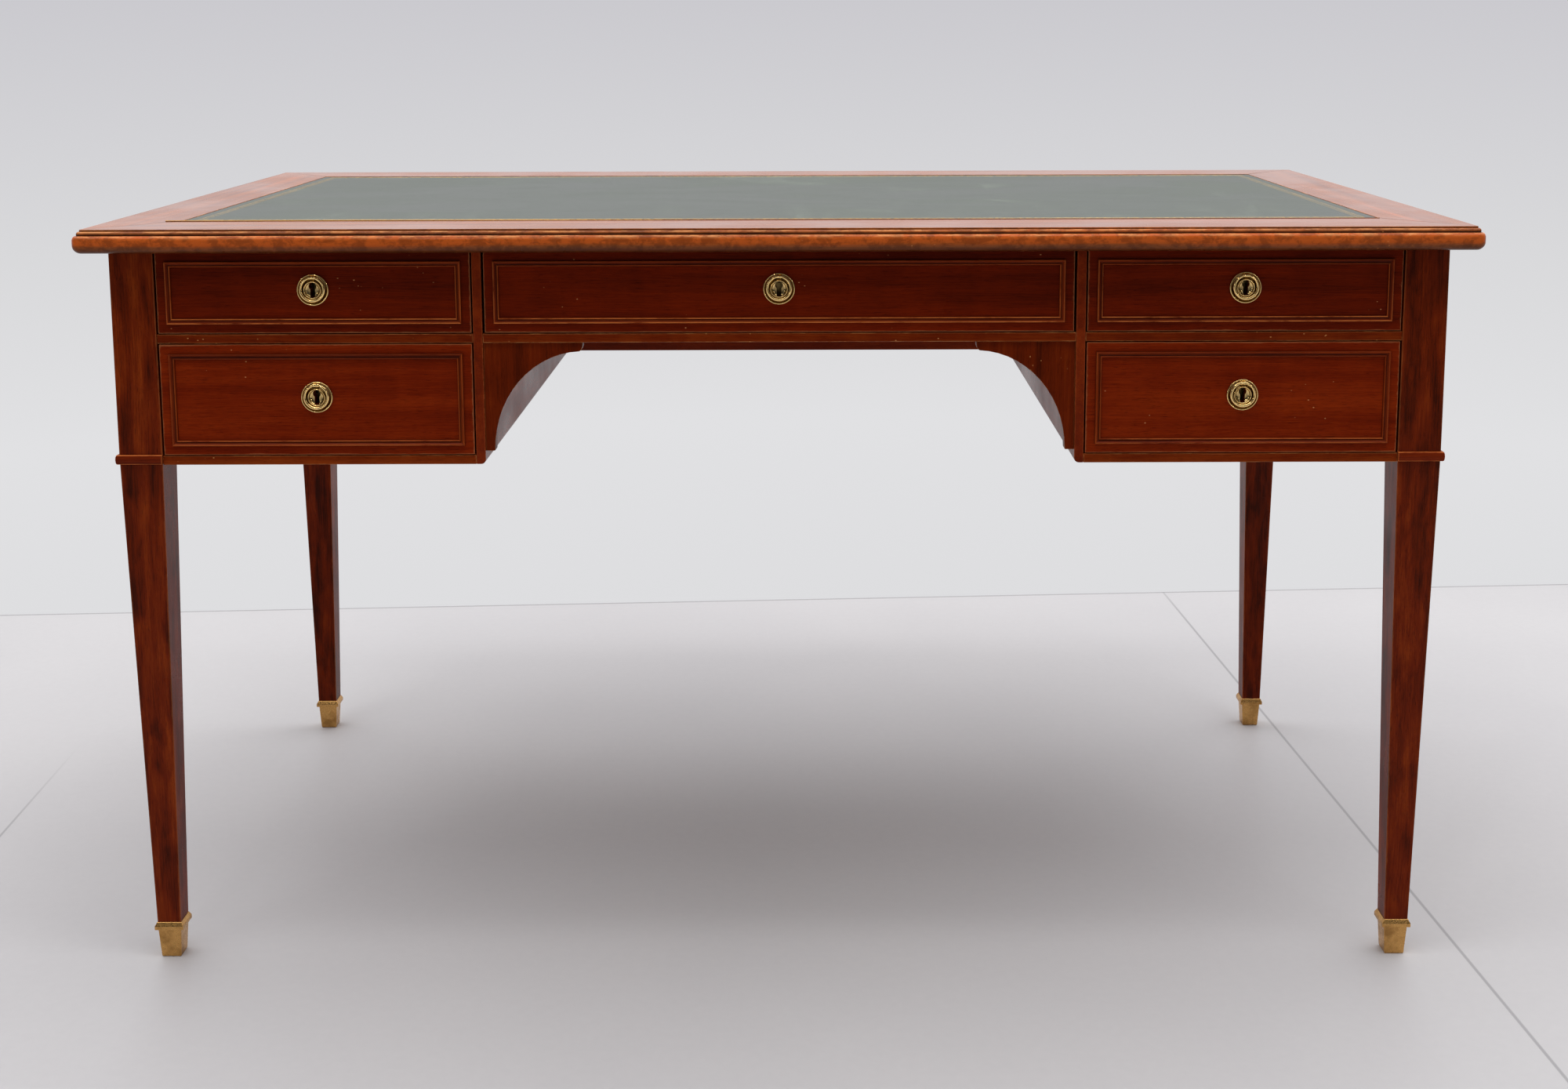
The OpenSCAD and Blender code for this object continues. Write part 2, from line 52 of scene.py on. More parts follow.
# ---------------------------------------------------------------- node helpers
class Tree:
    """A small helper for writing shader node trees."""

    def __init__(self, name):
        self.mat = bpy.data.materials.new(name)
        self.mat.use_nodes = True
        self.t = self.mat.node_tree
        self.bsdf = next(n for n in self.t.nodes if n.type == "BSDF_PRINCIPLED")

    def add(self, kind, **props):
        n = self.t.nodes.new(kind)
        for k, v in props.items():
            setattr(n, k, v)
        return n

    def put(self, socket, value):
        if isinstance(value, bpy.types.NodeSocket):
            self.t.links.new(value, socket)
        else:
            socket.default_value = value

    def attr(self, name, out="Vector"):
        n = self.add("ShaderNodeAttribute", attribute_name=name, attribute_type="GEOMETRY")
        return n.outputs[out]

    def obj(self):
        return self.add("ShaderNodeTexCoord").outputs["Object"]

    def vmul(self, v, s):
        n = self.add("ShaderNodeVectorMath", operation="MULTIPLY")
        self.put(n.inputs[0], v)
        self.put(n.inputs[1], s)
        return n.outputs[0]

    def vadd(self, v, w):
        n = self.add("ShaderNodeVectorMath", operation="ADD")
        self.put(n.inputs[0], v)
        self.put(n.inputs[1], w)
        return n.outputs[0]

    def noise(self, v, scale=1.0, detail=3.0, rough=0.55, out="Fac", distortion=0.0):
        n = self.add("ShaderNodeTexNoise")
        self.put(n.inputs["Vector"], v)
        n.inputs["Scale"].default_value = scale
        n.inputs["Detail"].default_value = detail
        n.inputs["Roughness"].default_value = rough
        n.inputs["Distortion"].default_value = distortion
        return n.outputs[out]

    def voronoi(self, v, scale=1.0, feature="F1", out="Distance", rnd=1.0):
        n = self.add("ShaderNodeTexVoronoi", feature=feature)
        self.put(n.inputs["Vector"], v)
        n.inputs["Scale"].default_value = scale
        if "Randomness" in n.inputs:
            n.inputs["Randomness"].default_value = rnd
        return n.outputs[out]

    def math(self, op, a, b=0.5, c=None, clamp=False):
        n = self.add("ShaderNodeMath", operation=op, use_clamp=clamp)
        self.put(n.inputs[0], a)
        if len(n.inputs) > 1:
            self.put(n.inputs[1], b)
        if c is not None:
            self.put(n.inputs[2], c)
        return n.outputs[0]

    def band(self, v, lo, hi, to_lo=0.0, to_hi=1.0):
        n = self.add("ShaderNodeMapRange", interpolation_type="SMOOTHSTEP")
        self.put(n.inputs["Value"], v)
        for k, x in (("From Min", lo), ("From Max", hi), ("To Min", to_lo), ("To Max", to_hi)):
            n.inputs[k].default_value = x
        return n.outputs["Result"]

    def ramp(self, v, stops):
        n = self.add("ShaderNodeValToRGB")
        self.put(n.inputs[0], v)
        e = n.color_ramp.elements
        while len(e) > 1:
            e.remove(e[-1])
        e[0].position, e[0].color = stops[0][0], (*stops[0][1], 1)
        for pos, col in stops[1:]:
            k = e.new(pos)
            k.color = (*col, 1)
        return n.outputs[0]

    def mix(self, fac, a, b, mode="MIX"):
        n = self.add("ShaderNodeMix", data_type="RGBA", blend_type=mode)
        self.put(n.inputs[0], fac)
        for s, v in ((n.inputs[6], a), (n.inputs[7], b)):
            self.put(s, v if isinstance(v, bpy.types.NodeSocket) else (*v, 1))
        return n.outputs[2]

    def edge_distance(self):
        """Distance in metres to the nearest edge of a board, from its near and far coordinates: the middle one of the three."""
        n = self.add("ShaderNodeVectorMath", operation="MINIMUM")
        self.put(n.inputs[0], self.attr("near"))
        self.put(n.inputs[1], self.attr("far"))
        x = self.add("ShaderNodeSeparateXYZ")
        self.put(x.inputs[0], n.outputs[0])
        a, b, c = x.outputs[0], x.outputs[1], x.outputs[2]
        return self.math("MAXIMUM", self.math("MINIMUM", a, b), self.math("MINIMUM", self.math("MAXIMUM", a, b), c))

    def bump(self, height, strength, distance, normal=None):
        n = self.add("ShaderNodeBump")
        n.inputs["Strength"].default_value = strength
        n.inputs["Distance"].default_value = distance
        self.put(n.inputs["Height"], height)
        if normal is not None:
            self.put(n.inputs["Normal"], normal)
        return n.outputs[0]


def srgb(r, g, b):
    def f(c):
        c /= 255
        return c / 12.92 if c <= 0.04045 else ((c + 0.055) / 1.055) ** 2.4
    return (f(r), f(g), f(b))


# ---------------------------------------------------------------- materials
def wood(name, dark, mid, light, worn, streak=(2.6, 60.0), mottle=0.2, mottle_scale=(26.0, 11.0),
         pores=0.45, coat=0.45, rough=0.34, wear=0.8, spec=0.5, speck=0.0, fibre=0.3, bump=0.35, rim=0.3,
         breaks=(0.44, 0.60), grime_and_shade=0.9, figure=0.0, knocks=(0.56, 0.66)):
    """Polished timber. The attribute grain holds board coordinates in metres, x along the fibres;
    wear is 1 on rubbed edges, and below zero it darkens the wood: painted shade along undersides and in hollows, with
    old polish in the quirks; tone shifts a whole board lighter or darker."""
    T = Tree(name)
    g = T.attr("grain")
    wear_and_shade = T.attr("wear", "Fac")
    tone = T.attr("tone", "Fac")
    wander = T.noise(T.vmul(g, (1.3, 5.0, 5.0)), detail=2.0, out="Color")
    g2 = T.vadd(g, T.vmul(wander, (0.0, 0.035, 0.035)))
    n_streak = T.noise(T.vmul(g2, (streak[0], streak[1], streak[1])), detail=5.0, rough=0.62)
    n_fibre = T.noise(T.vmul(g2, (22.0, 900.0, 900.0)), detail=2.0, rough=0.6)
    n_mottle = T.noise(T.vmul(g, (mottle_scale[0], mottle_scale[1], mottle_scale[1])), detail=3.0, rough=0.5, distortion=0.6)
    a = T.math("MULTIPLY_ADD", n_fibre, fibre, T.math("MULTIPLY", n_streak, 1.0 - fibre))
    a = T.math("ADD", a, T.math("MULTIPLY", T.math("SUBTRACT", n_mottle, 0.5), mottle * 2))
    a = T.math("ADD", a, T.math("MULTIPLY", T.math("SUBTRACT", tone, 0.5), 0.5))
    col = T.ramp(a, [(0.28, dark), (0.5, mid), (0.72, light)])
    if figure:
        # dark stained patches along a shaped edge
        shaped = T.attr("shaped", "Fac")
        n_fig = T.noise(T.vmul(g, (75.0, 95.0, 95.0)), detail=5.0, rough=0.7, distortion=0.3)
        patch = T.math("MULTIPLY", T.band(n_fig, 0.43, 0.60), T.math("MULTIPLY", shaped, figure))
        col = T.mix(patch, col, tuple(c * 0.5 for c in dark))
    # pores: short dark dashes along the fibres
    n_pore = T.noise(T.vmul(g2, (95.0, 2600.0, 2600.0)), detail=1.0)
    pore = T.band(n_pore, 0.60, 0.68)
    col = T.mix(T.math("MULTIPLY", pore, pores), col, tuple(c * 0.35 for c in dark))
    # rubbed edges show paler wood in broken patches
    n_wear = T.noise(T.vmul(g, (38.0, 160.0, 160.0)), detail=4.0, rough=0.7)
    n_haze0 = T.noise(T.vmul(g, (17.0, 60.0, 60.0)), detail=2.0)
    # wear below zero: near-black painted shade in quirks, hollows and along undersides, with old polish in the quirks
    dirt_and_shade = T.math("MULTIPLY", T.math("MULTIPLY", wear_and_shade, -1.0, clamp=True), T.band(n_haze0, 0.25, 0.55, 0.75, 1.0))
    col = T.mix(T.math("MULTIPLY", dirt_and_shade, grime_and_shade), col, tuple(c * 0.12 for c in dark))
    d = T.edge_distance()
    d = T.math("ADD", d, T.math("MULTIPLY", T.math("SUBTRACT", n_wear, 0.5), 0.004))
    rim_f = T.math("MULTIPLY", T.math("MULTIPLY", T.band(d, 0.0014, 0.0002), T.attr("boxed", "Fac")), rim)
    worn_f = T.math("MULTIPLY", T.math("MULTIPLY", T.math("MAXIMUM", wear_and_shade, 0.0), wear), T.band(n_wear, *breaks), clamp=True)
    worn_f = T.math("MAXIMUM", worn_f, rim_f)
    col = T.mix(worn_f, col, worn)
    if speck:
        # a few small knocks in the polish
        d = T.voronoi(T.vmul(g, (95.0, 150.0, 150.0)), rnd=1.0)
        pick = T.noise(T.vmul(g, (9.0, 13.0, 13.0)), detail=1.0)
        dots = T.math("MULTIPLY", T.band(d, 0.10, 0.055), T.band(pick, *knocks))
        col = T.mix(T.math("MULTIPLY", dots, speck), col, worn)
    T.put(T.bsdf.inputs["Base Color"], col)
    n_haze = T.noise(T.vmul(g, (7.0, 9.0, 9.0)), detail=4.0, rough=0.6)
    r = T.math("ADD", T.band(n_haze, 0.3, 0.75, rough - 0.05, rough + 0.09), T.math("MULTIPLY", worn_f, 0.18))
    T.put(T.bsdf.inputs["Roughness"], r)
    if figure:
        T.put(T.bsdf.inputs["Specular IOR Level"], T.math("MULTIPLY_ADD", shaped, -0.7 * spec, spec))
        T.put(T.bsdf.inputs["Coat Weight"], T.math("MULTIPLY_ADD", shaped, -coat, coat))
    else:
        T.bsdf.inputs["Specular IOR Level"].default_value = spec
        T.bsdf.inputs["Coat Weight"].default_value = coat
    T.bsdf.inputs["Coat Roughness"].default_value = 0.16
    h = T.math("ADD", T.math("MULTIPLY", n_fibre, 0.5), T.math("MULTIPLY", pore, -0.5))
    T.put(T.bsdf.inputs["Normal"], T.bump(h, bump, 0.00012))
    return T.mat


def plain_timber(name, dark, mid, light):
    """Planed, unpolished secondary wood."""
    T = Tree(name)
    g = T.attr("grain")
    tone = T.attr("tone", "Fac")
    wander = T.noise(T.vmul(g, (1.1, 4.0, 4.0)), detail=2.0, out="Color")
    g2 = T.vadd(g, T.vmul(wander, (0.0, 0.05, 0.05)))
    n1 = T.noise(T.vmul(g2, (1.6, 42.0, 42.0)), detail=5.0, rough=0.6)
    n2 = T.noise(T.vmul(g2, (16.0, 700.0, 700.0)), detail=2.0)
    a = T.math("ADD", T.math("MULTIPLY", n1, 0.7), T.math("MULTIPLY", n2, 0.3))
    a = T.math("ADD", a, T.math("MULTIPLY", T.math("SUBTRACT", tone, 0.5), 0.4))
    col = T.ramp(a, [(0.3, dark), (0.5, mid), (0.7, light)])
    pore = T.band(T.noise(T.vmul(g2, (60.0, 1700.0, 1700.0)), detail=1.0), 0.58, 0.66)
    col = T.mix(T.math("MULTIPLY", pore, 0.5), col, tuple(c * 0.45 for c in dark))
    T.put(T.bsdf.inputs["Base Color"], col)
    T.put(T.bsdf.inputs["Roughness"], T.band(n1, 0.3, 0.7, 0.58, 0.75))
    h = T.math("ADD", n2, T.math("MULTIPLY", pore, -1.0))
    T.put(T.bsdf.inputs["Normal"], T.bump(h, 0.4, 0.00015))
    return T.mat


def brass(name, base, dark, rough=0.22, tarnish=0.5):
    T = Tree(name)
    p = T.obj()
    n1 = T.noise(T.vmul(p, (60.0, 60.0, 60.0)), detail=5.0, rough=0.65)
    n2 = T.noise(T.vmul(p, (420.0, 420.0, 420.0)), detail=4.0, rough=0.7)
    wear_and_shade = T.attr("wear", "Fac")
    f = T.math("MULTIPLY", T.band(n1, 0.42, 0.72), tarnish)
    f = T.math("MULTIPLY", f, T.math("SUBTRACT", 1.0, T.math("MULTIPLY", T.math("MAXIMUM", wear_and_shade, 0.0), 0.8)))
    # below zero: tarnish and dirt in the channel, and near-black painted shade on the keyhole's walls
    dirt_and_shade = T.math("MULTIPLY", wear_and_shade, -1.0, clamp=True)
    col = T.mix(f, base, dark)
    col = T.mix(T.math("MULTIPLY", T.band(n2, 0.56, 0.7), 0.35), col, dark)
    col = T.mix(T.math("MULTIPLY", dirt_and_shade, 0.93), col, tuple(c * 0.10 for c in dark))
    T.put(T.bsdf.inputs["Base Color"], col)
    T.bsdf.inputs["Metallic"].default_value = 1.0
    T.put(T.bsdf.inputs["Roughness"], T.math("ADD", T.band(n2, 0.3, 0.75, rough - 0.05, rough + 0.12), T.math("MULTIPLY", f, 0.2)))
    T.put(T.bsdf.inputs["Normal"], T.bump(n2, 0.12, 0.0001))
    return T.mat


def steel(name):
    T = Tree(name)
    p = T.obj()
    n = T.noise(T.vmul(p, (300.0, 300.0, 60.0)), detail=4.0)
    T.put(T.bsdf.inputs["Base Color"], T.ramp(n, [(0.3, (0.25, 0.24, 0.23)), (0.7, (0.46, 0.45, 0.44))]))
    T.bsdf.inputs["Metallic"].default_value = 1.0
    T.put(T.bsdf.inputs["Roughness"], T.band(n, 0.3, 0.7, 0.32, 0.5))
    return T.mat


def desk_leather(name):
    """Dyed hide with a fine pebble grain, faint dusty wipes and a few darker patches."""
    T = Tree(name)
    p = T.obj()
    cells = T.voronoi(T.vmul(p, (1.0, 1.0, 1.0)), scale=1150.0)
    pebble = T.band(cells, 0.05, 0.75, 1.0, 0.0)
    fine = T.noise(p, scale=2400.0, detail=2.0)
    cloud = T.noise(T.vmul(p, (3.2, 4.6, 1.0)), detail=5.0, rough=0.62, distortion=0.7)
    wipe = T.noise(T.vmul(p, (13.0, 6.5, 1.0)), detail=6.0, rough=0.72, distortion=0.8)
    scuff = T.noise(T.vmul(p, (70.0, 9.0, 1.0)), detail=4.0, rough=0.6, distortion=1.5)
    deep, mid, pale = srgb(30, 42, 30), srgb(42, 55, 39), srgb(60, 72, 53)
    col = T.ramp(cloud, [(0.3, deep), (0.55, mid), (0.85, pale)])
    col = T.mix(T.math("MULTIPLY", T.band(fine, 0.35, 0.7), 0.25), col, deep)
    dust = T.math("MULTIPLY", T.band(wipe, 0.50, 0.78), T.band(cloud, 0.40, 0.64))
    fine_scuff = T.math("MULTIPLY", T.band(scuff, 0.66, 0.72), T.band(cloud, 0.46, 0.60))
    dust = T.math("MAXIMUM", dust, T.math("MULTIPLY", fine_scuff, 0.8))
    col = T.mix(T.math("MULTIPLY", dust, 0.30), col, srgb(152, 160, 148))
    T.put(T.bsdf.inputs["Base Color"], col)
    T.put(T.bsdf.inputs["Roughness"], T.math("ADD", T.band(cloud, 0.3, 0.7, 0.30, 0.36), T.math("MULTIPLY", dust, 0.10)))
    T.bsdf.inputs["Specular IOR Level"].default_value = 0.5
    T.put(T.bsdf.inputs["Normal"], T.bump(T.math("ADD", pebble, T.math("MULTIPLY", fine, 0.4)), 0.35, 0.00018))
    return T.mat


def gold_leaf(name):
    """Gilt tooling pressed into the hide, rubbed through in places."""
    T = Tree(name)
    p = T.obj()
    n = T.noise(p, scale=160.0, detail=5.0, rough=0.75)
    f = T.band(n, 0.36, 0.52)
    T.put(T.bsdf.inputs["Base Color"], T.mix(f, srgb(40, 66, 52), srgb(214, 172, 92)))
    T.put(T.bsdf.inputs["Metallic"], T.math("MULTIPLY", f, 0.9))
    T.put(T.bsdf.inputs["Roughness"], T.band(n, 0.3, 0.7, 0.42, 0.30))
    return T.mat


def gilt_line(name):
    """Gold size on wood, mostly rubbed away where wear is low; near-black painted shadow where it is below zero."""
    T = Tree(name)
    p = T.obj()
    w = T.attr("wear", "Fac")
    n = T.noise(p, scale=220.0, detail=4.0, rough=0.7)
    f = T.band(T.math("SUBTRACT", w, T.math("MULTIPLY", n, 0.7)), -0.1, 0.15)
    col = T.mix(f, srgb(122, 66, 28), srgb(218, 164, 84))
    # below zero: near-black painted shadow
    col = T.mix(T.math("MULTIPLY", w, -1.0, clamp=True), col, srgb(46, 20, 8))
    T.put(T.bsdf.inputs["Base Color"], col)
    T.put(T.bsdf.inputs["Roughness"], T.band(n, 0.3, 0.7, 0.45, 0.6))
    T.bsdf.inputs["Specular IOR Level"].default_value = 0.2
    return T.mat


def floor_paint(name):
    T = Tree(name)
    p = T.obj()
    n = T.noise(T.vmul(p, (0.9, 0.9, 0.9)), detail=5.0, rough=0.55)
    f = T.noise(p, scale=90.0, detail=3.0)
    col = T.ramp(T.math("ADD", T.math("MULTIPLY", n, 0.8), T.math("MULTIPLY", f, 0.2)),
                 [(0.3, srgb(188, 186, 188)), (0.7, srgb(198, 196, 197))])
    # joints between the floor sheets, and the line where the floor meets the wall:
    # (direction across, distance, width, how far back it shows)
    py = T.add("ShaderNodeSeparateXYZ")
    T.put(py.inputs[0], p)
    for across, at, width, until in (((0.99874, 0.0501, 0.0), -0.96504, 0.0022, 0.3), ((0.99829, 0.05851, 0.0), 0.70286, 0.0026, 1.2),
                                     ((-0.0586, 0.99828, 0.0), 0.9424, 0.008, 9.0)):
        d = T.add("ShaderNodeVectorMath", operation="DOT_PRODUCT")
        T.put(d.inputs[0], p)
        T.put(d.inputs[1], across)
        off = T.math("ABSOLUTE", T.math("SUBTRACT", d.outputs["Value"], at))
        seen = T.math("MULTIPLY", T.band(off, width, width * 0.35), T.band(py.outputs["Y"], until, until - 0.4, 0.0, 0.5))
        col = T.mix(seen, col, srgb(112, 110, 114))
    T.put(T.bsdf.inputs["Base Color"], col)
    T.put(T.bsdf.inputs["Roughness"], T.band(n, 0.3, 0.7, 0.42, 0.55))
    T.bsdf.inputs["Specular IOR Level"].default_value = 0.35
    return T.mat


M = {
    "top_wood": wood("top_wood", srgb(126, 63, 29), srgb(158, 85, 38), srgb(200, 93, 33), srgb(244, 166, 96),
                     streak=(2.0, 70.0), mottle=0.05, mottle_scale=(60.0, 60.0), pores=0.16, coat=0.15, rough=0.24, wear=0.5, rim=0.0, spec=0.5, bump=0.06, fibre=0.2, speck=0.35, figure=0.5),
    "carcass_wood": wood("carcass_wood", srgb(84, 23, 4), srgb(118, 36, 6), srgb(146, 54, 12), srgb(196, 104, 52),
                         mottle=0.10, coat=0.02, rough=0.28, wear=0.4, spec=0.06, rim=0.15, bump=0.12),
    "rail_wood": wood("rail_wood", srgb(76, 22, 4), srgb(112, 35, 6), srgb(142, 58, 15), srgb(214, 146, 86),
                      mottle=0.14, coat=0.0, rough=0.32, wear=0.45, speck=0.85, spec=0.03, rim=0.12, knocks=(0.46, 0.58)),
    "moulding_wood": wood("moulding_wood", srgb(80, 21, 5), srgb(120, 38, 8), srgb(150, 60, 16), srgb(228, 128, 62),
                          mottle=0.08, coat=0.0, rough=0.32, wear=0.8, spec=0.06, rim=0.0, breaks=(0.28, 0.56)),
    "leg_wood": wood("leg_wood", srgb(60, 16, 2), srgb(112, 34, 4), srgb(144, 57, 12), srgb(206, 128, 72),
                     streak=(5.0, 80.0), mottle=0.3, mottle_scale=(17.0, 60.0), pores=0.6, coat=0.0, rough=0.3, wear=0.55, fibre=0.34, spec=0.07, rim=0.2),
    "drawer_front_wood": wood("drawer_front_wood", srgb(84, 20, 3), srgb(120, 32, 4), srgb(146, 48, 9), srgb(210, 142, 92),
                              streak=(1.8, 38.0), mottle=0.08, pores=0.6, coat=0.0, rough=0.32, wear=0.5, speck=0.9, fibre=0.36, spec=0.035, rim=0.3),
    "oak": plain_timber("oak", srgb(134, 98, 62), srgb(168, 130, 86), srgb(196, 160, 112)),
    "desk_leather": desk_leather("desk_leather"),
    "gold_leaf": gold_leaf("gold_leaf"),
    "gilt_line": gilt_line("gilt_line"),
    "aged_brass": brass("aged_brass", srgb(255, 218, 146), srgb(150, 106, 52), rough=0.15, tarnish=0.2),
    "sabot_brass": brass("sabot_brass", srgb(204, 156, 92), srgb(128, 86, 42), rough=0.26, tarnish=0.6),
    "lock_brass": brass("lock_brass", srgb(206, 176, 112), srgb(120, 92, 50), rough=0.32, tarnish=0.6),
    "screw_steel": steel("screw_steel"),
}


# ---------------------------------------------------------------- mesh helpers
RNG = random.Random(417)


def islands(bm):
    """Groups of connected vertices."""
    bm.verts.ensure_lookup_table()
    left, out = set(bm.verts), []
    while left:
        seed = left.pop()
        stack, group = [seed], [seed]
        while stack:
            for e in stack.pop().link_edges:
                for v in e.verts:
                    if v in left:
                        left.discard(v)
                        stack.append(v)
                        group.append(v)
        out.append(group)
    return out


def layer(group, kind, name):
    kinds = getattr(group.layers, kind)
    return kinds.get(name) or kinds.new(name)


def wear_and_shade_layer(bm):
    return layer(bm.verts, "float", "wear")


def lay_grain(bm, axis=None, tone=0.5, spread=0.16, rims=False, tapered=False):
    """Gives each board its own stretch of timber, with the fibres along its longest side or a named axis."""
    for kind, name in (("float_vector", "grain"), ("float", "tone")) + ((("float_vector", "near"), ("float_vector", "far"), ("float", "boxed")) if rims else ()):
        layer(bm.verts, kind, name)
    gl, tl = layer(bm.verts, "float_vector", "grain"), layer(bm.verts, "float", "tone")
    for group in sorted(islands(bm), key=lambda g: tuple(round(sum(v.co[i] for v in g) / len(g), 4) for i in range(3))):
        lo = Vector(min(v.co[i] for v in group) for i in range(3))
        hi = Vector(max(v.co[i] for v in group) for i in range(3))
        size = hi - lo
        order = sorted(range(3), key=lambda i: -size[i])
        if axis is not None:
            order = [axis] + [i for i in order if i != axis]
        shift = Vector((RNG.uniform(0, 9), RNG.uniform(0, 9), RNG.uniform(0, 9)))
        t = tone + RNG.uniform(-spread, spread)
        for v in group:
            v[gl] = Vector((v.co[order[0]], v.co[order[1]], v.co[order[2]])) + shift
            v[tl] = t
        if rims:
            nl, fl, bl = layer(bm.verts, "float_vector", "near"), layer(bm.verts, "float_vector", "far"), layer(bm.verts, "float", "boxed")
            half = {}
            if tapered:
                mid = (lo + hi) / 2
                for v in group:
                    k = round(v.co.z, 4)
                    half[k] = max(half.get(k, 0.0), abs(v.co.x - mid.x))
            for v in group:
                a, b = v.co - lo, hi - v.co
                if tapered:
                    h = half[round(v.co.z, 4)]
                    a = Vector((v.co.x - mid.x + h, v.co.y - mid.y + h, 1.0))
                    b = Vector((mid.x + h - v.co.x, mid.y + h - v.co.y, 1.0))
                v[nl], v[fl], v[bl] = a, b, 1.0


def make_piece(name, bm, body, mats, replaces=(), smooth=True, sharp=34.0, weighted=True):
    me = bpy.data.meshes.new(name)
    bm.normal_update()
    bm.to_mesh(me)
    bm.free()
    ob = bpy.data.objects.new(name, me)
    SCENE.collection.objects.link(ob)
    for m in (mats if isinstance(mats, (list, tuple)) else [mats]):
        me.materials.append(m)
    if smooth:
        me.polygons.foreach_set("use_smooth", [True] * len(me.polygons))
        me.set_sharp_from_angle(angle=math.radians(sharp))
        if weighted:
            w = ob.modifiers.new("even shading", "WEIGHTED_NORMAL")
            w.keep_sharp = True
            w.weight = 80
    me.update()
    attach(ob, body)
    if replaces:
        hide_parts(*replaces)
    return ob


def from_cad(node):
    """A bmesh of a CAD node's own surface, joined up and with flat areas cleaned of triangles."""
    bm = bmesh.new()
    bm.from_mesh(NODES[node].data)
    bmesh.ops.remove_doubles(bm, verts=bm.verts[:], dist=1.5e-5)
    bmesh.ops.dissolve_degenerate(bm, dist=1e-6, edges=bm.edges[:])
    bmesh.ops.dissolve_limit(bm, angle_limit=math.radians(0.6), verts=bm.verts[:], edges=bm.edges[:],
                             use_dissolve_boundaries=False)
    return bm


def ease_edges(bm, width, angle=25.0, segments=2, keep=None):
    """Rounds every convex edge a little, as sanding and polish leave it, and marks it as rubbed."""
    wl = layer(bm.loops, "float", "wear")
    edges = []
    for e in bm.edges:
        if len(e.link_faces) == 2 and e.calc_face_angle(0.0) > math.radians(angle) and e.is_convex:
            if keep is None or keep(e):
                edges.append(e)
    r = bmesh.ops.bevel(bm, geom=edges, offset=width, offset_type="OFFSET", segments=segments, profile=0.5,
                        affect="EDGES", clamp_overlap=True, miter_outer="SHARP")
    for f in r["faces"]:
        for c in f.loops:
            c[wl] = 1.0
    return bm


def dressed(node, mat=None, width=0.7 * MM, axis=None, tone=0.5, spread=0.12, segments=2, name=None, wear=1.0, sharp=34.0,
            rims=True, tapered=False, first=None):
    """Replaces a CAD node with the same piece, its edges eased, carrying grain."""
    bm = from_cad(node)
    if first:
        first(bm)
    ease_edges(bm, width, segments=segments)
    lay_grain(bm, axis, tone, spread, rims, tapered)
    if wear != 1.0:
        wl = layer(bm.loops, "float", "wear")
        for f in bm.faces:
            for c in f.loops:
                c[wl] *= wear
    return make_piece(name or node + "_piece", bm, BODY[node], M[mat or SLOT[node]], (node,), sharp=sharp)


# ---------------------------------------------------------------- the case
# the back legs get a darker tone than the front ones: painted shade
for n, tone in (("leg_front_left", 0.5), ("leg_front_right", 0.46), ("leg_back_left", 0.34), ("leg_back_right", 0.34)):
    dressed(n, width=0.9 * MM, axis=2, tone=tone, spread=0.03, segments=3, tapered=True)
for n in ("side_panel_left", "side_panel_right"):
    dressed(n, axis=1, spread=0.05)
dressed("back_panel", axis=0, spread=0.05)
def round_foot(bm):
    """The partition's lower arris on the kneehole side is rounded over."""
    lo = min(v.co.z for v in bm.verts)
    inner = min(abs(v.co.x) for v in bm.verts)
    es = [e for e in bm.edges if all(v.co.z < lo + 0.0002 and abs(v.co.x) < inner + 0.0002 for v in e.verts)]
    bmesh.ops.bevel(bm, geom=es, offset=5.0 * MM, offset_type="OFFSET", segments=7, profile=0.5, affect="EDGES")


for n in ("partition_left", "partition_right"):
    dressed(n, axis=1, spread=0.05, first=round_foot)
for n in ("dust_board_left", "dust_board_right"):
    dressed(n, mat="rail_wood", axis=0, tone=0.46, spread=0.03)
# the bottom boards get a lighter tone: painted light, as bounced up from the floor
for n in ("bottom_board_left", "bottom_board_right"):
    dressed(n, mat="rail_wood", axis=0, tone=0.72, spread=0.03)
dressed("centre_rail", axis=0, width=0.9 * MM)
dressed("kneehole_brackets", axis=2, tone=0.36, spread=0.03, width=0.9 * MM, segments=3, sharp=40.0)
dressed("leg_collars", axis=None, width=0.35 * MM, segments=2, spread=0.05)
dressed("panel_mouldings", width=0.3 * MM, segments=1, spread=0.05, wear=0.5)
for n in ("drawer_runners", "drawer_stops", "corner_blocks", "desktop_panel"):
    dressed(n, mat="oak", width=0.5 * MM, segments=1, spread=0.2)
dressed("top_screws", width=0.2 * MM, segments=1)


# ---------------------------------------------------------------- the top
def arc(cx, cy, rx, ry, a0, a1, n):
    return [(cx + rx * math.cos(math.radians(a0 + (a1 - a0) * i / n)),
             cy + ry * math.sin(math.radians(a0 + (a1 - a0) * i / n))) for i in range(n + 1)]


